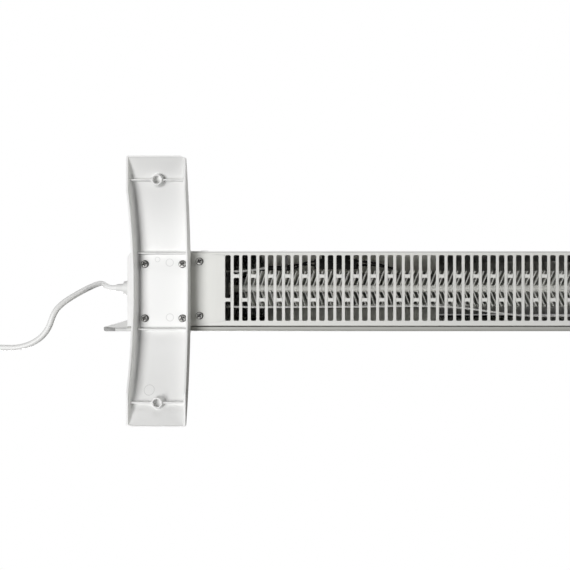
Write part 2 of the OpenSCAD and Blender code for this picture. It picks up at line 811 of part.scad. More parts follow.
// A sheet against the wall at wall_y: past the element it leans in by lean, runs up, and
// folds back to the wall, where it ends in a lip. Inwards is the side that lean points to.
module shield_sheet(wall_y, lean, top) {
    lean_z = element_z + 25;
    knee = 50;
    fold_z = deflector_z - shield_lip;
    s = shield_t * sign(lean);
    in_y = wall_y + lean;
    translate([shield_x0, 0, 0]) along_x() linear_extrude(shield_x1 - shield_x0) polygon([
        [wall_y, shield_z0], [wall_y, lean_z], [in_y, lean_z + knee], [in_y, fold_z - knee], [wall_y, fold_z],
        [wall_y, top], [wall_y + s, top], [wall_y + s, fold_z], [in_y + s, fold_z - knee],
        [in_y + s, lean_z + knee], [wall_y + s, lean_z], [wall_y + s, shield_z0]]);
}

module rear_shield() color("silver") {
    difference() {
        shield_sheet(grille_back_y, -16, deflector_z - seat);
        rivet_holes();
        translate([tip_x, 0, tip_screw_z]) screw_hole_y();
    }
}

module front_shield() color("silver") {
    shield_sheet(panel_in_y + seat, 17, deflector_z);
}

module air_deflector() color("silver") {
    y1 = grille_back_y;
    y0 = -19;
    flange = 10;
    rise = top_z - 6 - deflector_z - flange;
    difference() {
        translate([-tongue_x + 2, 0, 0]) along_x() linear_extrude(2 * tongue_x - 4) polygon([
            [y1, deflector_z], [y1, deflector_z + flange], [y0, deflector_z + flange + rise],
            [y0, deflector_z + flange + rise - deflector_t],
            [y1 - deflector_t, deflector_z + flange - deflector_t], [y1 - deflector_t, deflector_z]]);
        rivet_holes();
    }
}

// A flange on the shield, an arm, and a ring around the cutout's barrel
module cutout_bracket() color("silver") {
    arm_w = 5;
    y1 = grille_back_y - shield_t - seat;
    difference() {
        union() {
            block([cutout_arm_x - 6, y1 - 1, cutout_z1 - 12], [cutout_arm_x + 6, y1, cutout_z1]);
            block([cutout_arm_x - arm_w / 2, cutout_y, cutout_z1 - cutout_arm_t], [cutout_arm_x + arm_w / 2, y1, cutout_z1]);
            translate([0, cutout_y, cutout_z])
                rod_x(cutout_arm_x - arm_w / 2, cutout_arm_x + arm_w / 2, cutout_r + cutout_arm_t);
        }
        translate([0, cutout_y, cutout_z]) rod_x(cutout_arm_x - 4, cutout_arm_x + 4, cutout_r + bore_gap);
        rivet_holes();
    }
}

module thermal_cutout() color("black") {
    translate([0, cutout_y, cutout_z]) {
        rod_x(cutout_x - cutout_half, cutout_x + cutout_half, cutout_r);
        rod_x(cutout_x - cutout_half - cutout_pin, cutout_x + cutout_half + cutout_pin, 0.8);
    }
}

// Tip switch

module tip_switch_housing() color("black") {
    x0 = tip_x - tip_w / 2;
    x1 = tip_x + tip_w / 2;
    y0 = tip_front_y + tip_cover;
    difference() {
        union() {
            block([x0, y0, tip_z0], [x1, tip_back_y, tip_z0 + tip_h]);
            block([tip_x - 8, tip_back_y - eps, tip_z0 + 12],
                [tip_x + 8, grille_back_y - shield_t - seat, tip_z0 + tip_h - 2]);
        }
        block([x0 + tip_wall, y0 - 1, tip_z0 + tip_wall], [x1 - tip_wall, tip_back_y - tip_wall, tip_z0 + tip_h - tip_wall]);
        translate([tip_x, 0, pivot_z]) rod_y(y0, tip_back_y - tip_wall + 0.8, pendulum_pin_r + bore_gap);
        translate([tip_x, 0, tip_screw_z]) rod_y(back_y - 5.6, back_y, screw_r + bore_gap);
    }
}

module tip_switch_cover() color("dimgray") {
    difference() {
        block([tip_x - tip_w / 2, tip_front_y, tip_z0],
            [tip_x + tip_w / 2, tip_front_y + tip_cover - eps, tip_z0 + tip_h]);
        translate([tip_x, 0, pivot_z]) rod_y(tip_front_y - 1, tip_back_y, pendulum_pin_r + bore_gap);
    }
}

module tip_pendulum() color("goldenrod") {
    y0 = pendulum_mid_y - pendulum_t / 2;
    y1 = pendulum_mid_y + pendulum_t / 2;
    difference() {
        union() {
            translate([tip_x, 0, pivot_z]) rod_y(y0, y1, 2.4);
            block([tip_x - 1, y0, pivot_z - pendulum_len], [tip_x + 1, y1, pivot_z]);
            translate([tip_x, 0, pivot_z - pendulum_len]) rod_y(y0, y1, pendulum_r);
        }
        translate([tip_x, 0, pivot_z]) rod_y(y0 - 1, y1 + 1, pendulum_pin_r + run_gap);
    }
}

module pendulum_pin() color("silver") {
    translate([tip_x, 0, pivot_z]) rod_y(tip_front_y, tip_back_y - tip_wall + 0.6, pendulum_pin_r);
}

// Controls on the right end cap

module control_plate() color("lightgray") {
    difference() {
        translate([half_w, plate_y, plate_mid_z]) along_x() linear_extrude(plate_t) rounded_rect(plate_w, plate_h, 6);
        translate([0, plate_y, knob_z]) {
            rod_x(half_w - 1, half_w + 2, shaft_r + 0.6);
            for (y = [-1, 1]) translate([0, y * thermostat_screw, 0]) rod_x(half_w - 1, half_w + 2, screw_r + bore_gap);
        }
        for (s = [-1, 1])
            translate([half_w - 1, plate_y + s * switch_pitch / 2 - switch_body_w / 2 - seat,
                switch_z - switch_body_h / 2 - seat])
                cube([3, switch_body_w + 2 * seat, switch_body_h + 2 * seat]);
        translate([0, plate_y, lamp_z]) rod_x(half_w - 1, half_w + 2, lamp_r + bore_gap);
    }
}

module thermostat_body() color("dimgray") {
    x1 = end_wall_x - seat;
    w = thermostat_w / 2;
    translate([0, plate_y, knob_z]) difference() {
        block([thermostat_x0, -w, -w], [x1, w, w]);
        rod_x(x1 - 22, x1 + 1, shaft_r + run_gap);
        for (y = [-1, 1]) translate([0, y * thermostat_screw, 0]) rod_x(x1 - 8, x1 + 1, screw_r + bore_gap);
    }
}

module thermostat_screws() color("silver") {
    for (y = [-1, 1]) translate([plate_face_x, plate_y + y * thermostat_screw, knob_z])
        rotate([0, -90, 0]) screw(9, head_r = 2.6, head_h = 1.6);
}

knob_back_x = plate_face_x + body_gap;
knob_cavity = 4;

module thermostat_shaft() color("silver") {
    translate([0, plate_y, knob_z]) rod_x(end_wall_x - 20, knob_back_x + knob_h - 4.5, shaft_r);
}

module thermostat_knob() color("white") {
    translate([0, plate_y, knob_z]) difference() {
        union() {
            rod_x(knob_back_x, knob_back_x + 2, knob_r);
            rod_x(knob_back_x + 2 - eps, knob_back_x + knob_h, knob_r - 2);
            block([knob_back_x + 2, -1.2, 0], [knob_back_x + knob_h + 0.8, 1.2, knob_r - 0.6]);
        }
        rod_x(knob_back_x - 1, knob_back_x + knob_cavity, knob_r - 4);
        rod_x(knob_back_x, knob_back_x + knob_h - 4.4, shaft_r + 0.02);
    }
}

module switch_housings() color("black") {
    for (s = [-1, 1]) translate([0, plate_y + s * switch_pitch / 2, switch_z]) difference() {
        union() {
            translate([plate_face_x, 0, 0]) along_x() linear_extrude(bezel_t) rounded_rect(bezel_w, bezel_h, 1);
            block([plate_face_x + bezel_t - switch_depth, -switch_body_w / 2, -switch_body_h / 2],
                [plate_face_x + eps, switch_body_w / 2, switch_body_h / 2]);
        }
        block([rocker_axis_x - 6, -switch_body_w / 2 + switch_wall, -switch_body_h / 2 + switch_wall],
            [plate_face_x + bezel_t + 1, switch_body_w / 2 - switch_wall, switch_body_h / 2 - switch_wall]);
        translate([rocker_axis_x, 0, 0]) rod_y(-switch_body_w / 2 + 0.2, switch_body_w / 2 - 0.2, rocker_pin_r + 0.02);
    }
}

module switch_pins() color("silver") {
    for (s = [-1, 1]) translate([rocker_axis_x, plate_y + s * switch_pitch / 2, switch_z])
        rod_y(-switch_body_w / 2 + 0.3, switch_body_w / 2 - 0.3, rocker_pin_r);
}

// A rocker on its pin, resting at its off side
module rocker(s) {
    translate([rocker_axis_x, plate_y + s * switch_pitch / 2, switch_z]) rotate([0, rocker_tilt, 0]) difference() {
        translate([0, rocker_w / 2, 0]) rotate([90, 0, 0]) linear_extrude(rocker_w)
            polygon([[0, -rocker_half], [6, -rocker_half], [4.8, 0], [6, rocker_half], [0, rocker_half],
                [-3, 3], [-3, -3]]);
        rod_y(-rocker_w, rocker_w, rocker_pin_r + run_gap);
    }
}

module rocker_high() color("white") {
    rocker(1);
}

module rocker_low() color("white") {
    rocker(-1);
}

module pilot_lamp() color("orangered") {
    translate([0, plate_y, lamp_z]) {
        rod_x(end_wall_x - 6, plate_face_x + eps, lamp_r);
        rod_x(plate_face_x, plate_face_x + 1, lamp_r + 1);
        rod_x(plate_face_x + 1 - eps, plate_face_x + 2.4, lamp_r - 0.4);
    }
}

// Wiring

module terminal_block() color("ivory") {
    difference() {
        block([block_x0, block_y0, block_z0], [block_x0 + block_w, block_y1, block_z0 + block_h]);
        for (k = [0:2]) translate([block_x0 + 5 + 10 * k, block_y0 + block_d / 2, block_z0 + block_h - 5])
            cylinder(h = 6, r = 2);
    }
}

wire_gap = 0.2;
rod_end_x = bracket_x + 17 + wire_gap;
wire_z = base_z + 16;

module lead_return() color("white") {
    wire([[-rod_end_x, element_y, element_z], [-rod_end_x - 6.4, element_y - 2, element_z - 3],
        [-bracket_x - 12, -14, wire_z + 6], [-bracket_x + 2, -22, wire_z - 1], [-bracket_x + 22, -23.5, wire_z - 2],
        [-0.58 * bracket_x, -23.5, wire_z - 2], [-0.36 * bracket_x, -22.9, wire_z - 1],
        [-0.04 * bracket_x, -15, wire_z], [0.48 * bracket_x, -15, wire_z], [bracket_x - 17, -15, wire_z],
        [bracket_x + 6, -14, wire_z], [bracket_x + 24, -8, wire_z + 2], [bracket_x + 36, 4, wire_z + 10],
        [block_x0 + 5, block_y0 - 6, block_z0 + 4], [block_x0 + 5, block_y0 - wire_gap, block_z0 + 6]],
        [-1, 0, 0], [0, -1, 0]);
}

module lead_cutout() color("white") {
    y = back_y - 18.7;
    wire([[cutout_end + wire_gap, cutout_y, cutout_z], [cutout_end + 7, cutout_y - 1, wire_z + 4],
        [bracket_x - 23, y + 0.6, wire_z + 1], [bracket_x - 9, y, wire_z + 1], [bracket_x + 7, y, wire_z + 1],
        [bracket_x + 25, y - 1.6, wire_z + 6], [block_x0 + 6, block_y0 - 8, block_z0],
        [block_x0 + 15, block_y0 - wire_gap, block_z0 + 6]], [1, 0, 0], [0, -1, 0]);
}

module lead_tip_switch() color("black") {
    z = tip_z0 - 2;
    y = tip_back_y - 2.6;
    wire([[2 * cutout_x - cutout_end - wire_gap, cutout_y, cutout_z], [tip_x + 35, y - 4, z + 6.5],
        [tip_x + 29, y - 1.2, z + 2], [tip_x + 22, y, z], [tip_x + 10, y, z], [tip_x - 3, y, z],
        [tip_x - 28, y, z], [tip_x - 41, y - 2.4, z + 1], [tip_x - 52, y - 6, z + 5],
        [tip_x - 57, y - 7, z + 11], [tip_x - 54, y - 6, z + 17], [tip_x - 43, y - 4, z + 20],
        [tip_x - 31, y - 3, z + 21], [tip_x - tip_w / 2 - wire_gap, y - 3, z + 21]], [-1, 0, 0], [-1, 0, 0]);
}

module lead_element() color("black") {
    y = tip_back_y - 5.6;
    wire([[tip_x + tip_w / 2 + wire_gap, y, tip_z0 + 18], [tip_x + 35, y + 1, tip_z0 + 32],
        [tip_x + 60, y - 1, element_z + 30], [bracket_x - 19, 18, element_z + 40], [bracket_x, 12, element_z + 41],
        [bracket_x + 22, 6, element_z + 24], [rod_end_x + 8, element_y, element_z + 5],
        [rod_end_x, element_y, element_z]], [1, 0, 0], [1, 0, 0]);
}

module lead_supply() color("sienna") {
    for (s = [-1, 1]) wire([[cord_tail_x - wire_gap, gland_y + s * 1.3, gland_z],
        [cord_tail_x - 5.4, gland_y - 0.6 + s * 1.8, gland_z + 3], [cord_tail_x - 6, gland_y - 1 + s * 2, gland_z + 9],
        [cord_tail_x - 1, gland_y + s * 2, gland_z + 17], [block_x0 + 20 - s * 1.4, gland_y + 4 + s * 1.4, gland_z + 24],
        [block_x0 + 23 - s * 3, block_y0 - 6, block_z0 + 12],
        [block_x0 + 23 - s * 3, block_y0 - wire_gap, block_z0 + 12]], [-1, 0, 0], [0, -1, 0]);
}

switch_back_x = plate_face_x + bezel_t - switch_depth;

module lead_switches() color("saddlebrown") {
    x1 = switch_back_x - wire_gap;
    for (s = [-1, 1]) wire([[block_x0 + 15 + s * 6, block_y0 + 9.4, block_z0 + block_h + wire_gap],
        [block_x0 + 15 + s * 5, block_y0 + 6, block_z0 + 50], [block_x0 + 18, 16 + s * 4, (block_z0 + switch_z) / 2],
        [x1 - 16, plate_y + s * 8, switch_z - 40], [x1 - 9, plate_y + s * switch_pitch / 2, switch_z - 8],
        [x1, plate_y + s * switch_pitch / 2, switch_z - 2]], [0, 0, 1], [-1, 0, 0]);
}

module lead_thermostat() color("saddlebrown") {
    x1 = switch_back_x - wire_gap;
    x2 = thermostat_x0 - wire_gap;
    for (s = [-1, 1]) wire([[x1, plate_y + s * switch_pitch / 2, switch_z + 6], [x1 - 10, plate_y + s * 9, switch_z + 12],
        [x2 - 10, plate_y + s * 7, lamp_z + 4], [x2 - 11, plate_y + s * 6, knob_z - 14],
        [x2 - 6, plate_y + s * 6, knob_z - 5], [x2, plate_y + s * 6, knob_z - 4]], [-1, 0, 0], [-1, 0, 0]);
}

// Mains lead

module cord_gland() color("whitesmoke") {
    translate([0, gland_y, gland_z]) difference() {
        union() {
            rod_x(half_w - gland_barrel, half_w + eps, gland_barrel_r);
            translate([half_w, 0, 0]) rotate([0, 90, 0])
                cylinder(h = gland_flange, r1 = gland_r, r2 = gland_r - 1);
            translate([half_w + gland_flange - eps, 0, 0]) rotate([0, 90, 0])
                cylinder(h = gland_sleeve - gland_flange + eps, r1 = 4.1, r2 = 3.6);
        }
        rod_x(half_w - gland_barrel - 1, gland_end_x + 1, cord_r + bore_gap);
    }
}

module gland_nut() color("whitesmoke") {
    translate([0, gland_y, gland_z]) difference() {
        rod_x(end_wall_x - seat - 4, end_wall_x - seat, 7.4);
        rod_x(half_w - 12, half_w, gland_barrel_r + bore_gap);
    }
}

module clamp_screw_places() {
    for (s = [-1, 1]) translate([clamp_x + clamp_w / 2, gland_y + s * 7, 0]) children();
}

module clamp_base() color("lightgray") {
    difference() {
        block([clamp_x, gland_y - 10, base_z + cap_wall], [clamp_x + clamp_w, gland_y + 10, gland_z - 0.3]);
        translate([0, gland_y, gland_z]) rod_x(clamp_x - 1, clamp_x + clamp_w + 1, cord_r + bore_gap);
        clamp_screw_places() translate([0, 0, gland_z - 8]) cylinder(h = 9, r = screw_r + bore_gap);
    }
}

module clamp_bar() color("lightgray") {
    difference() {
        block([clamp_x, gland_y - 10, gland_z], [clamp_x + clamp_w, gland_y + 10, gland_z + 5]);
        translate([0, gland_y, gland_z]) rod_x(clamp_x - 1, clamp_x + clamp_w + 1, cord_r + bore_gap);
        clamp_screw_places() translate([0, 0, gland_z - 1]) cylinder(h = 9, r = screw_r + bore_gap);
    }
}

module clamp_screws() color("silver") {
    clamp_screw_places() translate([0, 0, gland_z + 5]) mirror([0, 0, 1]) screw(12, head_r = 2.6, head_h = 1.6);
}

module cord_core_sheath() color("whitesmoke") {
    translate([0, gland_y, gland_z]) rod_x(cord_tail_x, gland_end_x, cord_r);
}

module cord() color("whitesmoke") {
    swept_tube(smooth_path(cord_points, cord_steps), cord_r, cord_sides);
}

function coil_radius(i) = coil_out_r - coil_pitch * (coil_half - abs(i - coil_half)) / coil_rings;
function coil_height(i) = let (t = min(max((i - coil_half + coil_climb) / (2 * coil_climb), 0), 1))
    cord_r + coil_pitch * (1 - cos(180 * t)) / 2;
coil_points = concat([[coil_x - cord_d, coil_y - coil_out_r, cord_r]],
    [for (i = [0:2 * coil_half]) let (a = -90 + 360 * i / coil_rings)
        [coil_x + coil_radius(i) * cos(a), coil_y + coil_radius(i) * sin(a), coil_height(i)]],
    [[tail_x, tail_y, coil_top_z]]);

// The least gap that the coiled lead keeps to itself: the nearest two of its points that are
// half a turn or more apart, less the lead's diameter
function least_gap(points, apart) = min([for (i = [0:len(points) - 1])
    for (j = [i + apart:1:len(points) - 1]) norm(points[i] - points[j])]) - cord_d;
echo(coil_least_gap = least_gap(coil_points, coil_rings / 2));

module cord_coil() color("whitesmoke") {
    swept_tube(coil_points, cord_r, coil_sides);
}

module cord_tail() color("whitesmoke") {
    swept_tube(smooth_path(tail_points, cord_steps), cord_r, cord_sides);
}

relief_len = 24;
shoulder_len = 10;
plug_len = 58;
plug_place = tail_points[len(tail_points) - 1];

module plug_body() color("white") {
    translate(plug_place) rotate([-90, 0, 0]) difference() {
        union() {
            cylinder(h = relief_len, r1 = 3.5, r2 = 6.5);
            translate([0, 0, relief_len - eps]) cylinder(h = shoulder_len, r1 = 7, r2 = plug_h / 2 - 1);
            translate([0, 0, relief_len + shoulder_len - 2 * eps])
                linear_extrude(plug_len - relief_len - shoulder_len) rounded_rect(plug_w, plug_h, 11);
        }
        for (s = [-1, 1]) translate([s * pin_spacing / 2, 0, plug_len - 8]) cylinder(h = 9, r = pin_d / 2 + 0.02);
    }
}

module plug_pins() color("silver") {
    translate(plug_place) rotate([-90, 0, 0]) for (s = [-1, 1])
        translate([s * pin_spacing / 2, 0, plug_len - 8 + seat]) cylinder(h = 8 - seat + pin_len, r = pin_d / 2);
}

rear_panel();
front_panel();
bottom_grille();
side_trim_right();
side_trim_left();
end_cap_right();
end_cap_left();
foot_right();
foot_left();
foot_screws();
grille_screws();
rear_screws();
rear_rivets();
panel_clips();
element_bracket_right();
element_bracket_left();
element_bushes();
element_body();
heating_rod();
rear_shield();
front_shield();
air_deflector();
cutout_bracket();
thermal_cutout();
tip_switch_housing();
tip_switch_cover();
tip_pendulum();
pendulum_pin();
control_plate();
thermostat_body();
thermostat_screws();
thermostat_shaft();
thermostat_knob();
switch_housings();
switch_pins();
rocker_high();
rocker_low();
pilot_lamp();
terminal_block();
lead_return();
lead_cutout();
lead_tip_switch();
lead_element();
lead_supply();
lead_switches();
lead_thermostat();
cord_gland();
gland_nut();
clamp_base();
clamp_bar();
clamp_screws();
cord_core_sheath();
cord();
cord_coil();
cord_tail();
plug_body();
plug_pins();
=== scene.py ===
# %% [markdown]
# Electric convector heater
#
# A convector heater is a flat steel case on two moulded feet. Cool air enters through slots in
# its bottom, rises past a finned element and leaves at the top. This lesson dresses the packed
# CAD model of one as it looks in a photograph taken from straight below. Each cell builds one
# group of pieces or finishes, and prints what it made.
#
# The frame is the CAD model's own: the origin is on the floor midway between the feet, +X runs
# to the end with the controls, -Y out of the front, and +Z up. Pieces are worked out in
# millimetres, and make_piece turns them into metres. Camera, lamps and floor are in metres.

import json
import math

import bmesh
import bpy
import numpy as np
from mathutils import Matrix, Vector


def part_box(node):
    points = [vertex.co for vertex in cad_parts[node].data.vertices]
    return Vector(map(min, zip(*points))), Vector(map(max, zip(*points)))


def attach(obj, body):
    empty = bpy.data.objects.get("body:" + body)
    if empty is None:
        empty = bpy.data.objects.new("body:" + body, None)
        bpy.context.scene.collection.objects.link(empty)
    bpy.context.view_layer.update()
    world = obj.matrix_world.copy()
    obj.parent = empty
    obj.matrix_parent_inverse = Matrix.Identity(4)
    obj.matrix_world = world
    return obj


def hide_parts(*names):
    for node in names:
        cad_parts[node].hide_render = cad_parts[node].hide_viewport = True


MM = 0.001
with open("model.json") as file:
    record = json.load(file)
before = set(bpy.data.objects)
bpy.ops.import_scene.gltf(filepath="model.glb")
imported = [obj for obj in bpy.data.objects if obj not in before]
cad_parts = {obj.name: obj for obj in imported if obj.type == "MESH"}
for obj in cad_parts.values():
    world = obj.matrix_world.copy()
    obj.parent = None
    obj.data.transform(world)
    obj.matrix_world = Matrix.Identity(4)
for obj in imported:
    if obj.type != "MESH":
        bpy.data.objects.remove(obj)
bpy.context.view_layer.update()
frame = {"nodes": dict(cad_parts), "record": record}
nodes = frame["nodes"]
print("CAD nodes:", len(nodes))

# %% [markdown]
# Most pieces are a skin over a grid of points, one closed loop after another. They could be
# modelled by hand with extrusions. Worked out with numpy, they follow the sizes of the CAD
# model, and their shapes can be told in a formula.

# %% Grids, lofts and turned profiles


def grid_faces(rows, columns):
    """Quads between neighbouring rows; point j of row i has the number i times columns plus j."""
    a = np.arange((rows - 1) * columns).reshape(rows - 1, columns)
    b = np.roll(a, -1, axis=1)
    quads = np.stack([a, b, b + columns, a + columns], axis=2)
    return [tuple(quad) for quad in quads.reshape(-1, 4).tolist()]


def loft(loops, start=True, finish=True):
    """A skin over loops with equally many points, with a flat face over either end."""
    loops = np.asarray(loops, float)
    rows, columns = loops.shape[:2]
    faces = grid_faces(rows, columns)
    if start:
        faces.append(tuple(range(columns))[::-1])
    if finish:
        faces.append(tuple(range((rows - 1) * columns, rows * columns)))
    return loops.reshape(-1, 3), faces


def full_turn(count):
    """Equal steps of angle around a circle, without the last, which is the first again."""
    return np.linspace(0, 2 * math.pi, count, endpoint=False)


def basis(axis):
    """Two directions square to the axis and to each other, and the axis with length 1."""
    axis = np.asarray(axis, float) / np.linalg.norm(axis)
    helper = np.array([0.0, 0.0, 1.0]) if abs(axis[2]) < 0.9 else np.array([1.0, 0.0, 0.0])
    u = np.cross(helper, axis)
    u /= np.linalg.norm(u)
    return u, np.cross(axis, u), axis


def circle(u, v, count):
    """Directions around a circle: u times the angle's cosine plus v times its sine."""
    turn = full_turn(count)
    return np.cos(turn)[:, None] * u + np.sin(turn)[:, None] * v


def lathe(profile, origin, axis, sides):
    """Profile points (radius, height): origin + radius times a circle + height times the axis."""
    u, v, w = basis(axis)
    ring = circle(u, v, sides)
    return loft([np.asarray(origin, float) + r * ring + h * w for r, h in profile])


print("a pipe of two rings of 16:", len(lathe([(1, 0), (1, 1)], (0, 0, 0), (0, 0, 1), 16)[1]), "faces")

# %% [markdown]
# A lead or wire is a circle carried along a path. A curve object with a round bevel would look
# the same, but the lead's points have to be the ones of the CAD model. Each circle takes its
# side direction from the one before, so nothing twists.

# %% Paths and tubes


def slope_at(a, b, c):
    """Slope at b of a curve through a, b and c: both legs' slopes less the slope from a to c.

    The curve's parameter grows with the root of the distance between its points.
    """
    u, v = math.sqrt(np.linalg.norm(b - a)), math.sqrt(np.linalg.norm(c - b))
    if u == 0:
        return (c - b) / v
    if v == 0:
        return (b - a) / u
    return (b - a) / u - (c - a) / (u + v) + (c - b) / v


def smooth_path(points, steps):
    """A cubic between each two points, with their slopes at its ends, cut into equal steps."""
    p = np.asarray(points, float)
    last = len(p) - 1
    t = np.arange(steps)[:, None] / steps
    legs = []
    for i in range(last):
        a, b, c, d = p[max(i - 1, 0)], p[i], p[i + 1], p[min(i + 2, last)]
        v = math.sqrt(np.linalg.norm(c - b))
        start, finish = v * slope_at(a, b, c), v * slope_at(b, c, d)
        legs.append(b * (2 * t ** 3 - 3 * t ** 2 + 1) + start * (t ** 3 - 2 * t ** 2 + t)
                    + c * (3 * t ** 2 - 2 * t ** 3) + finish * (t ** 3 - t ** 2))
    return np.vstack([*legs, p[last]])


def path_length(path):
    """The sum of the distances between neighbouring points."""
    return float(np.linalg.norm(np.diff(path, axis=0), axis=1).sum())


def tube(path, radius, sides):
    """A circle around each point, square to the line from the point before to the one after."""
    path = np.asarray(path, float)
    ahead = np.vstack([path[1:], path[-1:]]) - np.vstack([path[:1], path[:-1]])
    ahead /= np.linalg.norm(ahead, axis=1)[:, None]
    side = basis(ahead[0])[0]
    loops = []
    for point, direction in zip(path, ahead):
        side = side - direction * (side @ direction)
        side /= np.linalg.norm(side)
        loops.append(point + radius * circle(side, np.cross(direction, side), sides))
    return loft(loops)


bend = smooth_path([[0, 0, 0], [9, 0, 0], [9, 9, 0]], 6)
print("a bend of 18 mm, smoothed:", round(path_length(bend), 1), "mm")

# %% [markdown]
# Sheet and moulded pieces have edges that are never quite sharp, and the small rounding is
# what catches the light. A slab is a stack of outlines, drawn in towards its two ends. A box
# needs no outline, so it is a cube with bevelled edges.

# %% Slabs and rounded boxes


def rounded_loop(corners, inset, steps=6):
    """A convex outline drawn in by inset, from corners (x, y, radius).

    Each corner becomes an arc. Its centre lies on the line that halves the corner, at the
    radius over the sine of half the corner's angle. The radius shrinks by the inset too.
    """
    c = np.array([corner[:2] for corner in corners], float)
    least_radius = 0.04
    radii = [max(corner[2] - inset, least_radius) for corner in corners]
    ahead = np.roll(c, -1, axis=0) - c
    ahead /= np.linalg.norm(ahead, axis=1)[:, None]
    back = -np.roll(ahead, 1, axis=0)
    arcs = []
    for k in range(len(c)):
        half = 0.5 * math.acos(np.clip(ahead[k] @ back[k], -1, 1))
        inward = (ahead[k] + back[k]) / np.linalg.norm(ahead[k] + back[k])
        corner = c[k] + inward * inset / math.sin(half)
        centre = corner + inward * radii[k] / math.sin(half)
        start = corner + back[k] * radii[k] / math.tan(half) - centre
        a = math.atan2(start[1], start[0]) + (math.pi - 2 * half) * np.arange(steps + 1) / steps
        arcs.append(centre + radii[k] * np.column_stack([np.cos(a), np.sin(a)]))
    return np.vstack(arcs)


def slab(corners, low, high, edge):
    """A plate between two heights, with a quarter round of radius edge along both its rims.

    At angle a of the round, the outline is drawn in by edge (1 - sin a), and its height is
    edge (1 - cos a) from the end.
    """
    turns = np.radians([0, 30, 60, 90])
    levels = [(edge * (1 - math.sin(a)), low + edge * (1 - math.cos(a))) for a in turns]
    levels += [(inset, low + high - level) for inset, level in levels[::-1]]
    return loft([np.insert(rounded_loop(corners, inset), 2, level, axis=1) for inset, level in levels])


def soft_box(low, high, radius):
    """A box from one corner to the other, with all its edges bevelled in three steps."""
    low, high = Vector(low), Vector(high)
    placed = Matrix.Translation((low + high) / 2) @ Matrix.Diagonal((*(high - low), 1))
    mesh = bmesh.new()
    bmesh.ops.create_cube(mesh, size=1, matrix=placed)
    bmesh.ops.bevel(mesh, geom=list(mesh.edges), offset=radius, segments=3, profile=0.5, affect="EDGES")
    mesh.verts.index_update()
    points = np.array([v.co for v in mesh.verts])
    faces = [tuple(v.index for v in f.verts) for f in mesh.faces]
    mesh.free()
    return points, faces


print("a bevelled box:", len(soft_box((0, 0, 0), (9, 9, 9), 1)[1]), "faces")

# %% [markdown]
# A finished piece is one object at the origin, with its place in its mesh, as the CAD pieces
# are. It says which moving body it rides on. Its normals are worked out afresh, because a
# mirrored or turned skin may be inside out.

# %% Joining and making pieces


def join(parts):
    """Several (points, faces) as one; each part's point numbers go up by the points before it."""
    points, faces, count = [], [], 0
    for p, f in parts:
        points.append(np.asarray(p, float))
        faces += [tuple(i + count for i in face) for face in f]
        count += len(p)
    return np.vstack(points), faces


def make_piece(name, part, material, body="heater", angle=35, weld=0.0):
    """A mesh object that rides on a body; edges sharper than angle stay hard."""
    points, faces = part
    mesh = bpy.data.meshes.new(name)
    mesh.from_pydata(points * MM, [], faces)
    work = bmesh.new()
    work.from_mesh(mesh)
    if weld > 0:
        bmesh.ops.remove_doubles(work, verts=work.verts, dist=weld * MM)
    bmesh.ops.recalc_face_normals(work, faces=work.faces)
    work.to_mesh(mesh)
    work.free()
    mesh.shade_smooth()
    mesh.set_sharp_from_angle(angle=math.radians(angle))
    piece = bpy.data.objects.new(name, mesh)
    bpy.context.scene.collection.objects.link(piece)
    mesh.materials.append(material)
    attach(piece, body)
    print(f"{name}: {len(mesh.vertices)} points, {len(mesh.polygons)} faces")
    return piece


# %% [markdown]
# Patterns are worked out by shader nodes. Wiring them by hand or line by line is hard to read,
# so Field holds one output of a node, and an expression such as 1 - mask adds the Math nodes.
# Every other node comes from one method, which the world and the floor use too.

# %% Shader maths


class Field:
    """One output of a shader node; an operator adds the Math node that does it."""

    def __init__(self, tools, socket):
        self.tools = tools
        self.socket = socket

    def __add__(self, other):
        return self.tools.maths("ADD", self, other)

    __radd__ = __add__

    def __sub__(self, other):
        return self.tools.maths("SUBTRACT", self, other)

    def __rsub__(self, other):
        return self.tools.maths("SUBTRACT", other, self)

    def __mul__(self, other):
        return self.tools.maths("MULTIPLY", self, other)

    __rmul__ = __mul__

    def __lt__(self, other):
        return self.tools.maths("LESS_THAN", self, other)

    def __gt__(self, other):
        return self.tools.maths("GREATER_THAN", self, other)

    def __abs__(self):
        return self.tools.maths("ABSOLUTE", self)

    def root(self):
        """The square root."""
        return self.tools.maths("SQRT", self)


class NodeTools:
    """A node tree with short ways to add nodes to it."""

    def __init__(self, tree):
        self.tree = tree

    def node(self, kind, settings=(), sockets=(), output=0):
        """Adds a node, sets its properties and then its inputs, and returns one output."""
        made = self.tree.nodes.new("ShaderNode" + kind)
        for key, value in dict(settings).items():
            setattr(made, key, value)
        for key, value in dict(sockets).items():
            if isinstance(value, Field):
                self.tree.links.new(value.socket, made.inputs[key])
            else:
                made.inputs[key].default_value = value
        return Field(self, made.outputs[output]) if made.outputs else None

    def maths(self, operation, a, b=None):
        """A Math node on one or two values."""
        return self.node("Math", {"operation": operation}, {0: a} if b is None else {0: a, 1: b})

    def spot(self):
        """The point in the object's own coordinates, in metres, as a vector."""
        return self.node("TexCoord", output="Object")

    def axes(self, vector):
        """The three numbers of a vector."""
        split = self.node("SeparateXYZ", (), {"Vector": vector}).socket.node
        return [Field(self, socket) for socket in split.outputs]

    def noise(self, vector, scale, detail=2.0):
        """A cloudy pattern between 0 and 1, with about scale blots to the metre."""
        return self.node("TexNoise", (), {"Vector": vector, "Scale": scale, "Detail": detail})

    def mix(self, share, first, second):
        """A colour between two: the first where share is 0, the second where it is 1."""
        a, b = (c if isinstance(c, Field) else (*c, 1) for c in (first, second))
        return self.node("Mix", {"data_type": "RGBA"}, {"Factor": share, "A": a, "B": b}, "Result")


# %% [markdown]
# Painted steel and moulded plastic share one recipe: a plain colour, a gloss that wanders a
# little, as hands and dust leave it, and a fine grain. The grain could be modelled, but it is
# far finer than a point of the picture, so a Bump node tilts the light instead.

# %% Plain finishes


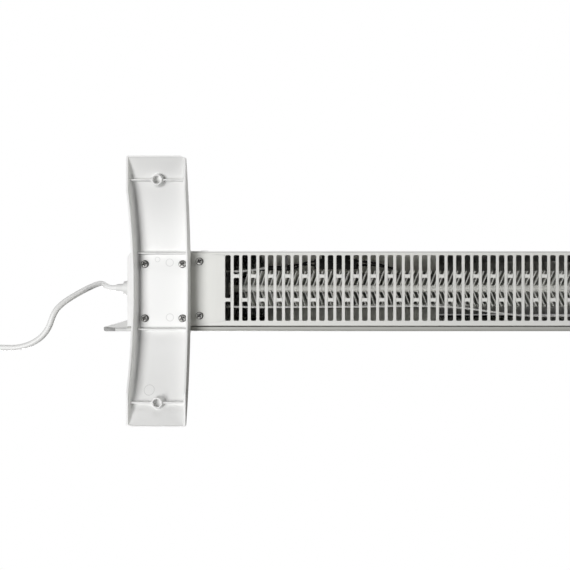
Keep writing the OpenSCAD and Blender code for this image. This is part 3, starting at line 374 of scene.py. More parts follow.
class Shader(NodeTools):
    """A material with one Principled surface."""

    def __init__(self, name, color, roughness=0.5, metallic=0.0):
        self.material = bpy.data.materials.new(name)
        self.material.use_nodes = True
        super().__init__(self.material.node_tree)
        self.surface = self.tree.nodes["Principled BSDF"]
        self.surface.inputs["Base Color"].default_value = (*color, 1)
        self.surface.inputs["Roughness"].default_value = roughness
        self.surface.inputs["Metallic"].default_value = metallic

    def link(self, field, name):
        """Feeds an input of the surface."""
        self.tree.links.new(field.socket, self.surface.inputs[name])

    def bump(self, height, strength):
        """A relief up to 0.2 mm high, by the height field and the strength."""
        sockets = {"Height": height, "Strength": strength, "Distance": 0.2 * MM}
        self.link(self.node("Bump", (), sockets), "Normal")


def plain(name, color, roughness=0.5, metallic=0.0, grain=0.0, scale=900.0, spread=0.0, gloss=0.5):
    """A plain finish; the roughness lies between roughness less and plus spread, by a noise."""
    shader = Shader(name, color, roughness, metallic)
    shader.surface.inputs["Specular IOR Level"].default_value = gloss
    vector = shader.spot()
    if spread > 0:
        cloud = shader.noise(vector, 35.0, 3.0)
        shader.link(cloud * (2 * spread) + (roughness - spread), "Roughness")
    if grain > 0:
        shader.bump(shader.noise(vector, scale), grain)
    return shader.material


# %% [markdown]
# The photograph looks straight up at the heater, which fills only the right part of it. The
# camera keeps looking straight up, and its frame is shifted sideways. Turning it instead would
# make the case's edges run together. Focal length and sight line are in the photograph's pixels.

# %% Camera
picture_px = 570
focal_px = 997
sight_px = (425, 287)
sensor_mm = 36
camera_data = bpy.data.cameras.new("camera")
camera = bpy.data.objects.new("camera", camera_data)
bpy.context.scene.collection.objects.link(camera)
camera.location = (0.0157, 0.0039, -0.9)
camera.rotation_euler = (0, math.pi, 0)
camera_data.sensor_width = sensor_mm
camera_data.lens = sensor_mm * focal_px / picture_px
camera_data.shift_x = (picture_px / 2 - sight_px[0]) / picture_px
camera_data.shift_y = (sight_px[1] - picture_px / 2) / picture_px
camera_data.clip_start = 0.05
camera_data.clip_end = 20
bpy.context.scene.camera = camera
print("lens", round(camera_data.lens, 2), "mm")

# %% [markdown]
# The mains lead is a soft round cord. It leaves the gland in the end cap, comes down to the
# floor and runs out of the picture, where the rest of it lies in a round coil. Its bends are
# points chosen after the photograph, because a simulated cord wouldn't take them. The
# coil winds in on the floor, climbs a layer and winds out above.

# %% The lead's route
cord_d = 5.2
cord_r = cord_d / 2
path_steps = 6
gland_end_x = 307.3
cord_route = [
    [0, 3, 44], [2.6, 3, 44], [5.2, 3, 44], [8.6, 4.1, 43.8], [11.6, 6.1, 43.2], [14.6, 7.2, 41.8],
    [17.6, 6.4, 39.6], [20.6, 4.7, 36.4], [23.6, 2.6, 31.9], [26, 0.5, 26.4], [28, -1.6, 21],
    [30.4, -4, 15.8], [33.4, -6.8, 11.2], [37, -10.2, 7.4], [40.8, -14.4, 4.6], [43.8, -19.2, 3],
    [46, -24.4, 2.6], [48, -30, 2.6], [51, -35.8, 2.6], [55.6, -41.2, 2.6], [62, -45.8, 2.6],
    [70, -49.2, 2.6], [79, -51, 2.6], [92, -51, 2.6],
    [112, -51, 2.6], [124, -51, 2.6], [130, -51, 2.6], [136, -51, 2.6],
]
cord_line = smooth_path([[gland_end_x + x, y, z] for x, y, z in cord_route], path_steps)
route_end_x, route_end_y = cord_route[-1][:2]
coil_out_r = 39.0
coil_x = gland_end_x + route_end_x + cord_d
coil_y = route_end_y + coil_out_r
steps_per_turn = 24
coil_half = 75
coil_climb = 6
coil_gap = 0.5
coil_pitch = cord_d + coil_gap
coil_top_z = cord_r + coil_pitch


def coil_points(i):
    """Places on the coil after i steps, of which it has twice coil_half.

    The radius falls by a pitch a turn up to the half and grows again after it. The height
    rises by a pitch around the half, as a raised cosine over twice coil_climb steps.
    """
    turn = np.radians(-90 + 360 / steps_per_turn * i)
    r = coil_out_r - coil_pitch * (coil_half - np.abs(i - coil_half)) / steps_per_turn
    t = np.clip((i - coil_half + coil_climb) / (2 * coil_climb), 0, 1)
    z = cord_r + coil_pitch * (1 - np.cos(math.pi * t)) / 2
    return np.column_stack([coil_x + r * np.cos(turn), coil_y + r * np.sin(turn), z])


tail_x = coil_x + coil_out_r
tail_y = coil_y + cord_d
plug_z = 13.0
tail_route = [
    [0, 0, coil_top_z], [0, 2.6, coil_top_z], [0, 5.2, coil_top_z], [-0.4, 16, coil_top_z],
    [-1.6, 30, coil_top_z + 0.4], [-2.6, 44, coil_top_z + 2.4], [-3, 56, plug_z - 0.6],
    [-3, 64, plug_z], [-3, 68, plug_z], [-3, 72, plug_z],
]
coil_line = np.vstack([[coil_x - cord_d, coil_y - coil_out_r, cord_r],
                       coil_points(np.arange(4 * coil_half + 1) / 2),
                       [tail_x, tail_y, coil_top_z]])
tail_line = smooth_path([[tail_x + x, tail_y + y, z] for x, y, z in tail_route], path_steps)
whole_line = np.vstack([cord_line, coil_line[1:], tail_line[1:]])

# %% [markdown]
# The sheath is dull white plastic. One tube takes the place of the three CAD pieces of the
# lead, so that no joint shows between them.

# %% The lead's sheath
sheath = plain("cord_sheath", (0.92, 0.92, 0.91), 0.38, grain=0.05, scale=500, spread=0.05)
mains_lead = make_piece("mains_lead", tube(whole_line, cord_r, 20), sheath, angle=80)
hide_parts("cord", "cord_coil", "cord_tail")

# %% [markdown]
# The plug is moulded on: a ribbed strain relief, a shoulder, and a flat oval body that ends
# in a face with two round pins. The relief is turned, and the body is a loft over ovals. A
# box with a bevel would have flat sides, which a moulded plug doesn't have.

# %% Plug
plug_at = tail_line[-1]
relief_ribs = 7
relief_pitch = 3.2
plug_turn = full_turn(48)


def plug_loop(along, half_w, half_h):
    """A superellipse of power 3: half sizes times the cosine and sine, each to the power 2/3."""
    c, s = np.cos(plug_turn), np.sin(plug_turn)
    across = half_w * np.sign(c) * np.abs(c) ** (2 / 3)
    up = half_h * np.sign(s) * np.abs(s) ** (2 / 3)
    return plug_at + np.column_stack([across, np.full(len(plug_turn), along), up])


plug_levels = [
    (24, 6.3, 6.3), (25, 7.0, 7.0), (28, 9.5, 8.2), (33, 13.5, 10.4), (38, 16.2, 12.0),
    (43, 17.2, 12.6), (50, 17.3, 12.7), (55, 16.9, 12.5), (57.2, 16.4, 12.2), (57.9, 15.8, 11.6),
]
relief_profile = [(3.0, 0.0), (3.5, 0.3)]
for k in range(relief_ribs):
    r = 3.6 + 2.6 * k / (relief_ribs - 1)
    h = relief_pitch * k
    relief_profile += [(r + 0.3, h + 1.4), (r + 0.35, h + 3.2), (r - 0.5, h + 3.5), (r - 0.4, h + 4.2)]
relief_profile.append((6.3, 24.5))
white_moulding = plain("plug_moulding", (0.86, 0.86, 0.85), 0.42, grain=0.1, scale=700)
plug = make_piece("plug_moulding", join([
    loft([plug_loop(*level) for level in plug_levels]),
    lathe(relief_profile, plug_at, (0, 1, 0), 32),
]), white_moulding)
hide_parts("plug_body")

# %% [markdown]
# A foot is a moulded channel, open below: an arched roof, thin walls, a pad under the case, a
# few ribs and two sockets for glides. It could be cut from a block with Booleans, which leave
# hard edges. Here it is one closed skin instead. Rings of points run around its plan and step
# from the roof's middle line out and down the outside, across the rim, and up the inside to the
# middle line of the channel's floor. Seen from the side, roof, floor and rim are arcs.

# %% The foot's sizes and curves
foot_x = 258.7
foot_h = 32.0
foot_half = 122.5
foot_half_w = 27.0
foot_lean = math.tan(math.radians(5))
foot_wall = 2.0
foot_end = 1.2
outer_edge = 1.6
rim_edge = 0.35
roof_top = foot_h + 1.0
roof_t = 3.5
roof_rise = roof_top - 4.0
roof_r = (foot_half ** 2 + roof_rise ** 2) / (2 * roof_rise)
arch_rise = 14.0
arch_half = foot_half - 30.5
arch_r = (arch_half ** 2 + arch_rise ** 2) / (2 * arch_rise)
pad_z = foot_h - 4.5
pad_half = 34.5
seat_half = 38.5


def foot_top(y):
    """The roof's arc, cut flat at the case, with a raised seat right under the case.

    The arc is the roof's top less its radius plus the root of radius squared less y squared.
    """
    arc = roof_top - roof_r + np.sqrt(roof_r ** 2 - y ** 2)
    seat = np.clip((seat_half + 0.35 - np.abs(y)) / 0.6, 0, 1)
    return np.minimum(arc, foot_h) * (1 - seat) + foot_h * seat


def foot_floor(y):
    """The channel's floor: the roof's arc with a radius less the wall, cut flat at the pad."""
    return np.minimum(roof_top - roof_r + np.sqrt((roof_r - roof_t) ** 2 - y ** 2), pad_z)


def foot_rim(y):
    """The rim's arch: an arc over the floor as the roof's is, and 0 at the flat treads."""
    return np.maximum(arch_rise - arch_r + np.sqrt(arch_r ** 2 - y ** 2), 0)


def outer_round(y):
    """Radius between roof and wall, never over half the wall's height."""
    return np.minimum(outer_edge, 0.5 * (foot_top(y) - foot_rim(y)))


def inner_round(y):
    """Radius between wall and floor: 1.6 by the pad and 4 beyond, or half the wall's height."""
    return np.minimum(np.interp(np.abs(y), [33, 38], [1.6, 4.0]), 0.5 * (foot_floor(y) - foot_rim(y)))


print("foot: roof radius", round(roof_r, 1), "and arch radius", round(arch_r, 1), "mm")

# %% [markdown]
# Every ring has the same stations along the foot's sides, so the rings join up point by point.
# The stations are closer together at the pad, the seat and the ends of the rim's arch.

# %% The foot's skin
near_stations = [0, 3.5, 7, 10.5, 14, 17.5, 21, 24.5, 28, 31, 33.5, 35, 36.5, 38.2, 38.8, 41]
far_stations = [44 + 2.4 * k for k in range(20)] + [91.2, 92, 92.8] + [95 + 2.5 * k for k in range(9)]
side_stations = np.array([-v for v in (near_stations + far_stations)[:0:-1]] + near_stations + far_stations)


def outline(half_x, half_y, corner, short_steps=14, corner_steps=5):
    """A rounded rectangle: its right side, one corner and its top, and then the same turned half."""
    flat_x, flat_y = max(half_x - corner, 0), half_y - corner
    side = np.concatenate([[-flat_y], side_stations, [flat_y]])
    across = np.linspace(flat_x, -flat_x, short_steps + 1)[1:-1]
    turn = np.radians(np.linspace(0, 90, corner_steps + 1))[1:-1]
    right = np.column_stack([np.full(len(side), flat_x + corner), side])
    bend = np.column_stack([flat_x + corner * np.cos(turn), flat_y + corner * np.sin(turn)])
    top = np.column_stack([np.append(flat_x, across), np.full(short_steps, half_y)])
    half_loop = np.vstack([right, bend, top])
    return np.vstack([half_loop, -half_loop])


def foot_ring(inset_x, inset_y, height, corner):
    """The plan drawn in by the insets, at a height that depends on y, and leaned in with it."""
    flat = outline(foot_half_w - inset_x, foot_half - inset_y, corner)
    z = height(flat[:, 1])
    return np.column_stack([flat[:, 0] * (1 - foot_lean * z / foot_half_w), flat[:, 1], z])


def over_rim(lift):
    """The rim's height plus a lift, as a function of y."""
    return lambda y: foot_rim(y) + lift


def between(low, high, share):
    """A height between two others, as a function of y: low plus share times what is between."""
    return lambda y: low(y) + (high(y) - low(y)) * share


def foot_outside():
    """Rings from the roof's middle line to the rim; the edge between is a quarter circle."""
    rings = []
    for k, share in enumerate((1.0, 0.85, 0.7, 0.55, 0.4, 0.28, 0.18)):
        rings.append(foot_ring(share * foot_half_w, 1.8 - 0.03 * k, foot_top, 0.0))
    for a in np.radians(np.arange(90, -1, -15)):
        drop = lambda y: foot_top(y) - outer_round(y) * (1 - math.sin(a))
        out = 1 - math.cos(a)
        rings.append(foot_ring(outer_edge * out, 1.4 * out, drop, 2.0))
    below_edge = lambda y: foot_top(y) - outer_round(y)
    for share in (0.75, 0.5, 0.25, 0.0):
        rings.append(foot_ring(0, 0, between(over_rim(rim_edge), below_edge, share), 2.0))
    rings.append(foot_ring(0.12, 0.08, over_rim(0.08), 1.9))
    rings.append(foot_ring(rim_edge, 0.25, foot_rim, 1.8))
    return rings


def foot_inside():
    """Rings from the rim to the floor's middle line; the fillet between is a quarter circle."""
    rings = [
        foot_ring(foot_wall - rim_edge, foot_end - 0.25, foot_rim, 1.2),
        foot_ring(foot_wall - 0.12, foot_end - 0.08, over_rim(0.08), 1.1),
        foot_ring(foot_wall, foot_end, over_rim(rim_edge), 1.0),
    ]
    below_fillet = lambda y: foot_floor(y) - inner_round(y)
    for share in (0.25, 0.5, 0.75):
        rings.append(foot_ring(foot_wall, foot_end, between(over_rim(rim_edge), below_fillet, share), 1.0))
    for a in np.radians(np.arange(0, 91, 18)):
        lift = lambda y: foot_floor(y) - inner_round(y) * (1 - math.sin(a))
        inward = 1 - math.cos(a)
        rings.append(foot_ring(foot_wall + 2.0 * inward, foot_end + 0.9 * inward, lift, 1.0))
    for k, share in enumerate((0.17, 0.21, 0.28, 0.4, 0.55, 0.7, 0.85, 1.0)):
        rings.append(foot_ring(share * foot_half_w, foot_end + 0.92 + 0.03 * k, foot_floor, 0.0))
    return rings


print("rings of the foot's skin:", len(foot_outside()) + len(foot_inside()))

# %% [markdown]
# Ribs stiffen the channel, and each end of a foot has a socket into which a glide can be
# pushed. They sink a little into the floor, so they need no cut in it, and their feet flare
# as a mould's fillets do.

# %% Ribs and glide sockets
socket_at = 101.2
socket_z = 3.0
socket_r = 3.6
socket_side = 4.4
pad_rib_half = 23.6
end_rib_half = 24.9


def rib(y, low_z, start_x, end_x):
    """A thin wall across the channel: a rounded lower edge, and flared where it meets the floor."""
    right, left = [], []
    for u, down in ((1.7, 0.0), (1.2, -0.1), (0.92, -0.45), (0.8, -1.0)):
        right.append([y + u, float(foot_floor(y + u)) + down])
        left.append([y - u, float(foot_floor(y - u)) + down])
    for u, up in ((0.7, 0.4), (0.52, 0.1), (0.2, 0.0)):
        right.append([y + u, low_z + up])
        left.append([y - u, low_z + up])
    top = [[y - 1.7, left[0][1] + 1.4], [y + 1.7, right[0][1] + 1.4]]
    loop = np.array([top[1]] + right + left[::-1] + [top[0]])
    return loft([np.insert(loop, 0, x, axis=1) for x in np.linspace(start_x, end_x, 8)])


def socket(y, sides=40):
    """A tapered boss with a blind bore: circles of radius r at height h, the last over the floor."""
    ring = circle(np.array([1.0, 0.0, 0.0]), np.array([0.0, 1.0, 0.0]), sides)
    bore_and_lip = [
        (0.01, 7.5), (3.3, 7.5), (socket_r, 7.2), (socket_r, 0.35), (3.75, 0.1), (4.0, 0.0),
        (4.5, 0.0), (4.8, 0.12), (4.95, 0.4),
    ]
    flare = [(5.45, -1.3), (5.6, -0.6), (5.95, -0.18), (6.7, 0.02), (7.2, 0.9)]
    loops = [np.array([0, y, socket_z + h]) + r * ring for r, h in bore_and_lip]
    for r, lift in flare:
        loop = np.array([0, y, 0]) + r * ring
        loop[:, 2] = foot_floor(loop[:, 1]) + lift
        loops.append(loop)
    return loft(loops)


def foot_part(side):
    """The whole foot, mirrored by side and placed at that end of the heater."""
    parts = [loft(foot_outside() + foot_inside(), start=False, finish=False)]
    for y in (-1, 1):
        parts.append(rib(y * (pad_half + 0.75), 22.0, -pad_rib_half, pad_rib_half))
        for low_x, high_x in ((-end_rib_half, -socket_side), (socket_side, end_rib_half)):
            parts.append(rib(y * socket_at, socket_z + 1.5, low_x, high_x))
        parts.append(socket(y * socket_at))
    points, faces = join(parts)
    return points * [side, 1, 1] + [side * foot_x, 0, 0], faces


foot_parts = {"right": foot_part(1), "left": foot_part(-1)}
print("foot:", len(foot_parts["right"][0]), "points before welding")

# %% [markdown]
# The plastic is white with a soft sheen. Ejector pins leave faint rings in such a moulding,
# here in the pad and in one arm. The shader draws them where the distance to a centre is close
# to a radius, because rings cut in the mesh would need thousands of faces.

# %% The foot's plastic
foot_white = (0.86, 0.86, 0.85)
ring_grey = (0.5, 0.5, 0.49)
ring_half_t = 0.35 * MM
moulding_rings = ((253.2, 26.6, 3.4), (253.0, -24.4, 3.4), (264.5, 29.5, 2.2), (268.5, -90.5, 4.6))
foot_shader = Shader("foot_plastic", foot_white, 0.32)
vector = foot_shader.spot()
x, y, z = foot_shader.axes(vector)
marks = 0
for mark_x, mark_y, mark_r in moulding_rings:
    dx = x - mark_x * MM
    dy = y - mark_y * MM
    marks = marks + (abs((dx * dx + dy * dy).root() - mark_r * MM) < ring_half_t)
foot_shader.bump(foot_shader.noise(vector, 260.0, 3.0) * 0.12 + marks, 0.25)
foot_shader.link(foot_shader.noise(vector, 30.0, 3.0) * 0.12 + 0.27, "Roughness")
foot_shader.link(foot_shader.mix(marks * 0.45, foot_white, ring_grey), "Base Color")
for end, part in foot_parts.items():
    foot = make_piece(f"foot_moulding_{end}", part, foot_shader.material, angle=40, weld=0.005)
    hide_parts(f"foot_{end}")

# %% [markdown]
# The side wings carry the front past the end caps. A narrow groove parts the strip along the
# front from the wedge behind it, and the strip's outer end is a rounded tip, painted dark as
# shade. Each wing is a few upright slabs side by side, because a cut groove would lose its soft
# edges. A number on every point says which belong to the tip, and the material paints shade
# on these by darkening them.

# %% Side wings
wing_x0 = 294.0
wing_x1 = 316.0
tip_start = 305.5
strip_front = -37.5
strip_back = -34.6
wedge_front = -34.25
top_z = 432.0
lip_x0 = 284.0
wing_grey = (0.61, 0.61, 0.6)
tip_shade_grey = (0.26, 0.26, 0.255)
wing_shader = Shader("wing_plastic", wing_grey, 0.42)
# Painted shade: the tip's points take the darker grey.
tip_shade_share = wing_shader.node("Attribute", {"attribute_name": "tip"}, output="Fac")
wing_shader.link(wing_shader.mix(tip_shade_share, wing_grey, tip_shade_grey), "Base Color")
wing_shader.bump(wing_shader.noise(wing_shader.spot(), 700.0), 0.12)


def wing(side, end):
    """Tip, strip, wedge, the core behind the groove, the lip under the front, and the tongue."""
    parts = [
        slab([(tip_start + 0.05, strip_front, 0.2), (wing_x1, strip_front, 2), (wing_x1, -33.5, 0.4),
              (tip_start + 0.05, strip_back + 0.2, 0.1)], foot_h, top_z, 0.2),
        slab([(wing_x0, strip_front, 0.2), (tip_start - 0.05, strip_front, 0.2),
              (tip_start - 0.05, strip_back, 0.2), (wing_x0, strip_back, 0.2)], foot_h, top_z, 0.3),
        slab([(wing_x0, wedge_front, 0.1), (tip_start, wedge_front, 0.1), (wing_x1 - 0.4, -33.35, 0.05),
              (wing_x0, -27.1, 0.1)], foot_h, top_z, 0.1),
        slab([(wing_x0, -36.8, 0.2), (wing_x1 - 2.2, -36.8, 0.4), (wing_x1 - 2.2, -33.8, 0.1),
              (wing_x0, -31, 0.1)], foot_h + 2.5, top_z - 1, 0.2),
        soft_box((lip_x0, strip_front, foot_h - 0.3), (wing_x0 + 1, strip_back, foot_h - 0.02), 0.1),
        soft_box((wing_x0 - 10, -36.45, foot_h + 4), (wing_x0 + 0.2, -34.4, top_z - 4), 0.2),
    ]
    points, faces = join(parts)
    piece = make_piece(f"side_wing_{end}", (points * [side, 1, 1], faces), wing_shader.material, angle=40)
    share = np.zeros(len(points), np.float32)
    share[:len(parts[0][0])] = 1.0
    tip = piece.data.attributes.new("tip", "FLOAT", "POINT")
    tip.data.foreach_set("value", share)
    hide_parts(f"side_trim_{end}")


wing(1, "right")
wing(-1, "left")

# %% [markdown]
# The thermostat knob is a turned cap with a fluted grip and a raised pointer. The flutes are a
# dip of the radius 36 times around, which a Displace modifier could give too, but not so
# evenly. Its dark line is paint, so it rides on the knob as a thin box.

# %% Knob
plate_face = 295.0
plate_y = 2.0
knob_z = 376.0
flutes = 36
flute_depth = 0.55
knob_turn = full_turn(8 * flutes)
knob_profile = [
    (295.3, 17.5, 0), (295.55, 18, 0), (296.8, 18, 0), (297.15, 17.8, 0), (297.3, 17.4, 0),
    (297.35, 16.2, 0), (297.6, 15.95, 0.2), (298.1, 15.9, 1), (303, 15.75, 1), (306.8, 15.6, 1),
    (307.7, 15.4, 0.8), (308.3, 15.0, 0.4), (308.65, 14.4, 0.1), (308.8, 13.7, 0), (308.8, 12.6, 0),
    (308.45, 12.1, 0), (308.4, 6, 0),
]


def knob_loop(x, r, depth):
    """A circle whose radius dips by depth times a squared raised cosine of 36 times the angle."""
    radius = r - flute_depth * depth * (0.5 + 0.5 * np.cos(flutes * knob_turn)) ** 2
    return np.column_stack([np.full(len(knob_turn), x), plate_y + radius * np.cos(knob_turn),
                            knob_z + radius * np.sin(knob_turn)])


pointer = soft_box((297.3, plate_y - 1.2, knob_z - 2), (309.5, plate_y + 1.2, knob_z + 17.2), 0.45)
knob_white = plain("knob_white", (0.8, 0.8, 0.79), 0.35, grain=0.05, scale=800)
knob = make_piece("knob_grip", join([loft([knob_loop(*level) for level in knob_profile]), pointer]),
                  knob_white, body="knob", angle=40)
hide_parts("thermostat_knob")
ink = plain("grey_ink", (0.05, 0.05, 0.05), 0.5)
pointer_line = soft_box((309.3, plate_y - 0.35, knob_z + 8), (309.6, plate_y + 0.35, knob_z + 16), 0.05)
make_piece("pointer_line", pointer_line, ink, body="knob")

# %% [markdown]
# The marks around the knob are printed on the control plate, one for every tenth of its 270
# degrees, and every fifth is bolder. They could be an image, but thin flat blocks stay sharp
# from close up and need no file.

# %% Dial marks
dial_steps = 10
dial_start = 225
dial_sweep = 270
mark_out = 21.9
marks = []
for step in range(dial_steps + 1):
    bold = step % 5 == 0
    a = math.radians(dial_start - dial_sweep / dial_steps * step)
    inner = 19.6 if bold else 20.3
    along = np.array([math.cos(a), math.sin(a)])
    square = np.array([-along[1], along[0]]) * (0.4 if bold else 0.22)
    ring = [along * inner - square, along * mark_out - square, along * mark_out + square,
            along * inner + square]
    flat = np.array(ring) + [plate_y, knob_z]
    marks.append(loft([np.insert(flat, 0, x, axis=1) for x in (plate_face - 0.05, plate_face + 0.04)]))
make_piece("dial_marks", join(marks), ink)

# %% [markdown]
# Each rocker carries two printed marks, a stroke on its on side and a ring on its off side.
# They lie just above its two slanted faces and tilt with it. The rocker's own box at rest
# gives its half height and its axis, so the marks follow if the rocker's size changes.

# %% Rocker marks
switch_z = 320.0
rest_tilt = math.radians(9)
rocker_tip_x = 6.0
rocker_dip_x = 4.8
print_half_t = 0.03


def rocker_marks(node, body):
    """A stroke and a ring, laid out along the rocker's height and then leaned with it."""
    low, high = (np.array(corner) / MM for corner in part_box(node))
    half = (high[2] - switch_z) / math.cos(rest_tilt)
    axis_x = high[0] - rocker_tip_x * math.cos(rest_tilt) - half * math.sin(rest_tilt)
    middle_y = (low[1] + high[1]) / 2

    def lean(across, along, lift):
        """Turns a place on the rocker by its tilt.

        Its distance out from the axis grows evenly from the dip in the middle to the tip.
        """
        out = rocker_dip_x + (rocker_tip_x - rocker_dip_x) * np.abs(along) / half + lift
        x = axis_x + out * math.cos(rest_tilt) + along * math.sin(rest_tilt)
        z = switch_z - out * math.sin(rest_tilt) + along * math.cos(rest_tilt)
        return np.column_stack([x, middle_y + across, z])

    sides = np.array([-0.25, 0.25, 0.25, -0.25])
    ends = np.array([0.36, 0.36, 0.74, 0.74]) * half
    stroke = loft([lean(sides, ends, lift) for lift in (-print_half_t, print_half_t)])
    turn = full_turn(32)
    rings = [(1.45, -print_half_t), (1.45, print_half_t), (1.05, print_half_t), (1.05, -print_half_t)]
    rings.append(rings[0])
    loops = [lean(r * np.cos(turn), r * np.sin(turn) - 0.55 * half, lift) for r, lift in rings]
    marks = join([stroke, loft(loops, start=False, finish=False)])
    make_piece(f"{node}_marks", marks, ink, body=body, weld=0.001)


rocker_marks("rocker_high", "high_rocker")
rocker_marks("rocker_low", "low_rocker")

# %% [markdown]
# Screws have a domed head with a cross recess. The head is a grid of rings and spokes whose
# height is a dome less a cross-shaped pit. A Boolean would give sharper arms, but also long
# thin faces that shade badly. How deep a point lies in the pit, and whether it is on the rim,
# is kept on the mesh, so that the material can darken these places as painted shade.

# %% Screw heads
shank_r = 1.6
arm_half_share = 0.17
arm_end_share = 0.62
shaded_rim_share = 0.88


def cross_head(centre, axis, radius, height, turn, depth=1.5, spokes=64):
    """The head of a cross screw, and how dark each of its points is.

    The dome is height times (half + half the root of 1 less the squared share of the radius).
    The pit is 2.2 less 1.6 times the distance from the nearer arm's middle line, in arm half
    widths, kept between 0 and 1, and it falls to 0 at the arm's end. The pit and the rim are
    darkened, as painted shade.
    """
    u, v, w = basis(axis)
    centre = np.asarray(centre, float)
    spoke = circle(u, v, spokes)
    a = full_turn(spokes)
    r = np.append(np.linspace(0.02, 0.8, 16), [0.86, 0.91, 0.95, 0.98, 1.0])[:, None] * radius
    px = np.abs(r * np.cos(a - turn))
    py = np.abs(r * np.sin(a - turn))
    arm = np.minimum(px, py) / (arm_half_share * radius)
    reach = np.maximum(px, py) / (arm_end_share * radius)
    pit = np.clip(2.2 - 1.6 * arm, 0, 1) * np.clip(5 * (1 - reach), 0, 1)
    dome = height * (0.5 + 0.5 * np.sqrt(np.maximum(0, 1 - (r / radius) ** 2)))
    top = centre + r[..., None] * spoke + (dome - depth * pit)[..., None] * w
    underside = centre + radius * spoke
    # Painted shade: how dark a point is comes from the pit and the rim.
    painted_shade = np.maximum(pit, 0.95 * (r > shaded_rim_share * radius))
    return loft([*top, underside]), np.append(painted_shade.ravel(), np.zeros(spokes))


def screw_set(name, places, axis, head_r, head_h, length, turns):
    """One piece with all screws of a kind, each head turned by the next of the turns."""
    parts, shares = [], []
    for k, at in enumerate(places):
        head, painted_shade = cross_head(at, axis, head_r, head_h, turns[k % len(turns)])
        shank = lathe([(shank_r, 0.0), (shank_r, length)], at, -np.asarray(axis, float), 16)
        parts += [head, shank]
        shares += [painted_shade, np.zeros(len(shank[0]))]
    piece = make_piece(name, join(parts), screw_metal.material, angle=50)
    pit = piece.data.attributes.new("pit", "FLOAT", "POINT")
    pit.data.foreach_set("value", np.concatenate(shares).astype(np.float32))
    return piece


print("a screw head:", len(cross_head((0, 0, 0), (0, 0, 1), 1, 1, 0)[1]), "points")

# %% [markdown]
# The screws are bright plated steel, and plating on small heads is cloudy, so their tint and
# gloss wander. Eight hold the feet to the end caps, and four hold the bottom plate.

# %% Screws
screw_metal = Shader("screw_metal", (0.3, 0.295, 0.28), 0.3, 0.95)
pit_shade_share = screw_metal.node("Attribute", {"attribute_name": "pit"}, output="Fac")
smudge = screw_metal.noise(screw_metal.spot(), 650.0, 3.0)
tint = screw_metal.mix(smudge, (0.26, 0.255, 0.245), (0.8, 0.79, 0.77))
# Painted shade: the pit and the rim go near black.
screw_metal.link(screw_metal.mix(pit_shade_share, tint, (0.05, 0.05, 0.048)), "Base Color")
screw_metal.link(smudge * 0.3 + 0.2, "Roughness")
down = (0, 0, -1)
head_r = 3.55
foot_screw_dx = 17.5
foot_screw_y = 25.2
foot_screw_places = [(side * foot_x + dx, y, pad_z) for side in (1, -1)
                     for dx in (-foot_screw_dx, foot_screw_dx) for y in (-foot_screw_y, foot_screw_y)]
foot_screws = screw_set("foot_screw_set", foot_screw_places, down, head_r, 2.2, 14,
                        [0.45, 0.8, 1.2, 0.3, 0.1, 1.4, 0.7, 1.0])
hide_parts("foot_screws")
grille_screw_x = 226.5
grille_screw_places = [(side * grille_screw_x, y, foot_h) for side in (1, -1) for y in (-22.9, 27.8)]
grille_screws = screw_set("grille_screw_set", grille_screw_places, down, head_r, 1.7, 9,
                          [0.75, 0.5, 1.1, 0.2])
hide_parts("grille_screws")

# %% [markdown]
# Two insulated wires show through the slots, and so does the black boss of the tip switch.
# The wires follow the same points as in the CAD source, with more steps and sides.

# %% Wires and tip switch
rod_end_x = 224.2
element_y = 2.4
element_z = 72.0
block_x0 = 246.0
block_y0 = 22.3
tip_x = 100.8
boss_half = 14.3
wire_r = 1.0


def wire(points, away_first, away_last):
    """A wire through the points; two more at either end make it leave its terminal straight."""
    p = np.asarray(points, float)
    ends = [p[0] + d * np.array(away_first, float) for d in (0, 1.2, 2.4)]
    tips = [p[-1] + d * np.array(away_last, float) for d in (2.4, 1.2, 0)]
    return tube(smooth_path(np.vstack([ends, p[1:-1], tips]), 5), wire_r, 12)


white_sleeve = plain("white_sleeve", (0.82, 0.82, 0.8), 0.5, grain=0.3, scale=1500)
black_sleeve = plain("black_sleeve", (0.006, 0.006, 0.006), 0.6, gloss=0.15)
black_moulding = plain("black_plastic", (0.006, 0.006, 0.006), 0.6, grain=0.15, scale=700, gloss=0.15)
return_wire = wire([
    [-rod_end_x, element_y, element_z], [-rod_end_x - 6.4, element_y - 2, element_z - 3],
    [-219, -14, 54], [-205, -22, 47], [-185, -23.5, 46], [-120.06, -23.5, 46], [-74.52, -22.9, 47],
    [-8.28, -15, 48], [99.36, -15, 48], [190, -15, 48], [213, -14, 48], [231, -8, 50], [243, 4, 58],
    [block_x0 + 5, block_y0 - 6, 64], [block_x0 + 5, block_y0 - 0.2, 66]], (-1, 0, 0), (0, -1, 0))
piece = make_piece("return_wire", return_wire, white_sleeve, angle=80)
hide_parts("lead_return")
tip_wire = wire([
    [141.7, 22, 54.8], [135.8, 24, 50.5], [129.8, 26.8, 46], [122.8, 28, 44], [110.8, 28, 44],
    [97.8, 28, 44], [72.8, 28, 44], [59.8, 25.6, 45], [48.8, 22, 49], [43.8, 21, 55], [46.8, 22, 61],
    [57.8, 24, 64], [69.8, 25, 65], [80.6, 25, 65]], (-1, 0, 0), (-1, 0, 0))
piece = make_piece("tip_switch_wire", tip_wire, black_sleeve, angle=80)
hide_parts("lead_tip_switch")
switch_low, switch_high = (np.array(corner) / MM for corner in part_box("tip_switch_housing"))
boss = soft_box((tip_x - boss_half, switch_high[1] - 4.9, switch_low[2] + 12.1),
                (tip_x + boss_half, switch_high[1], switch_high[2] - 2.1), 0.4)
piece = make_piece("tip_switch_boss", boss, black_moulding)
print("tip switch", switch_low.round(1), switch_high.round(1))

# %% [markdown]
# The bottom plate is painted sheet. The shields beside the element are galvanised, and zinc
# freezes in flat crystals that each take the light a little differently. A Voronoi pattern has
# such cells, and each cell's random colour gives the tint and gloss of one crystal.

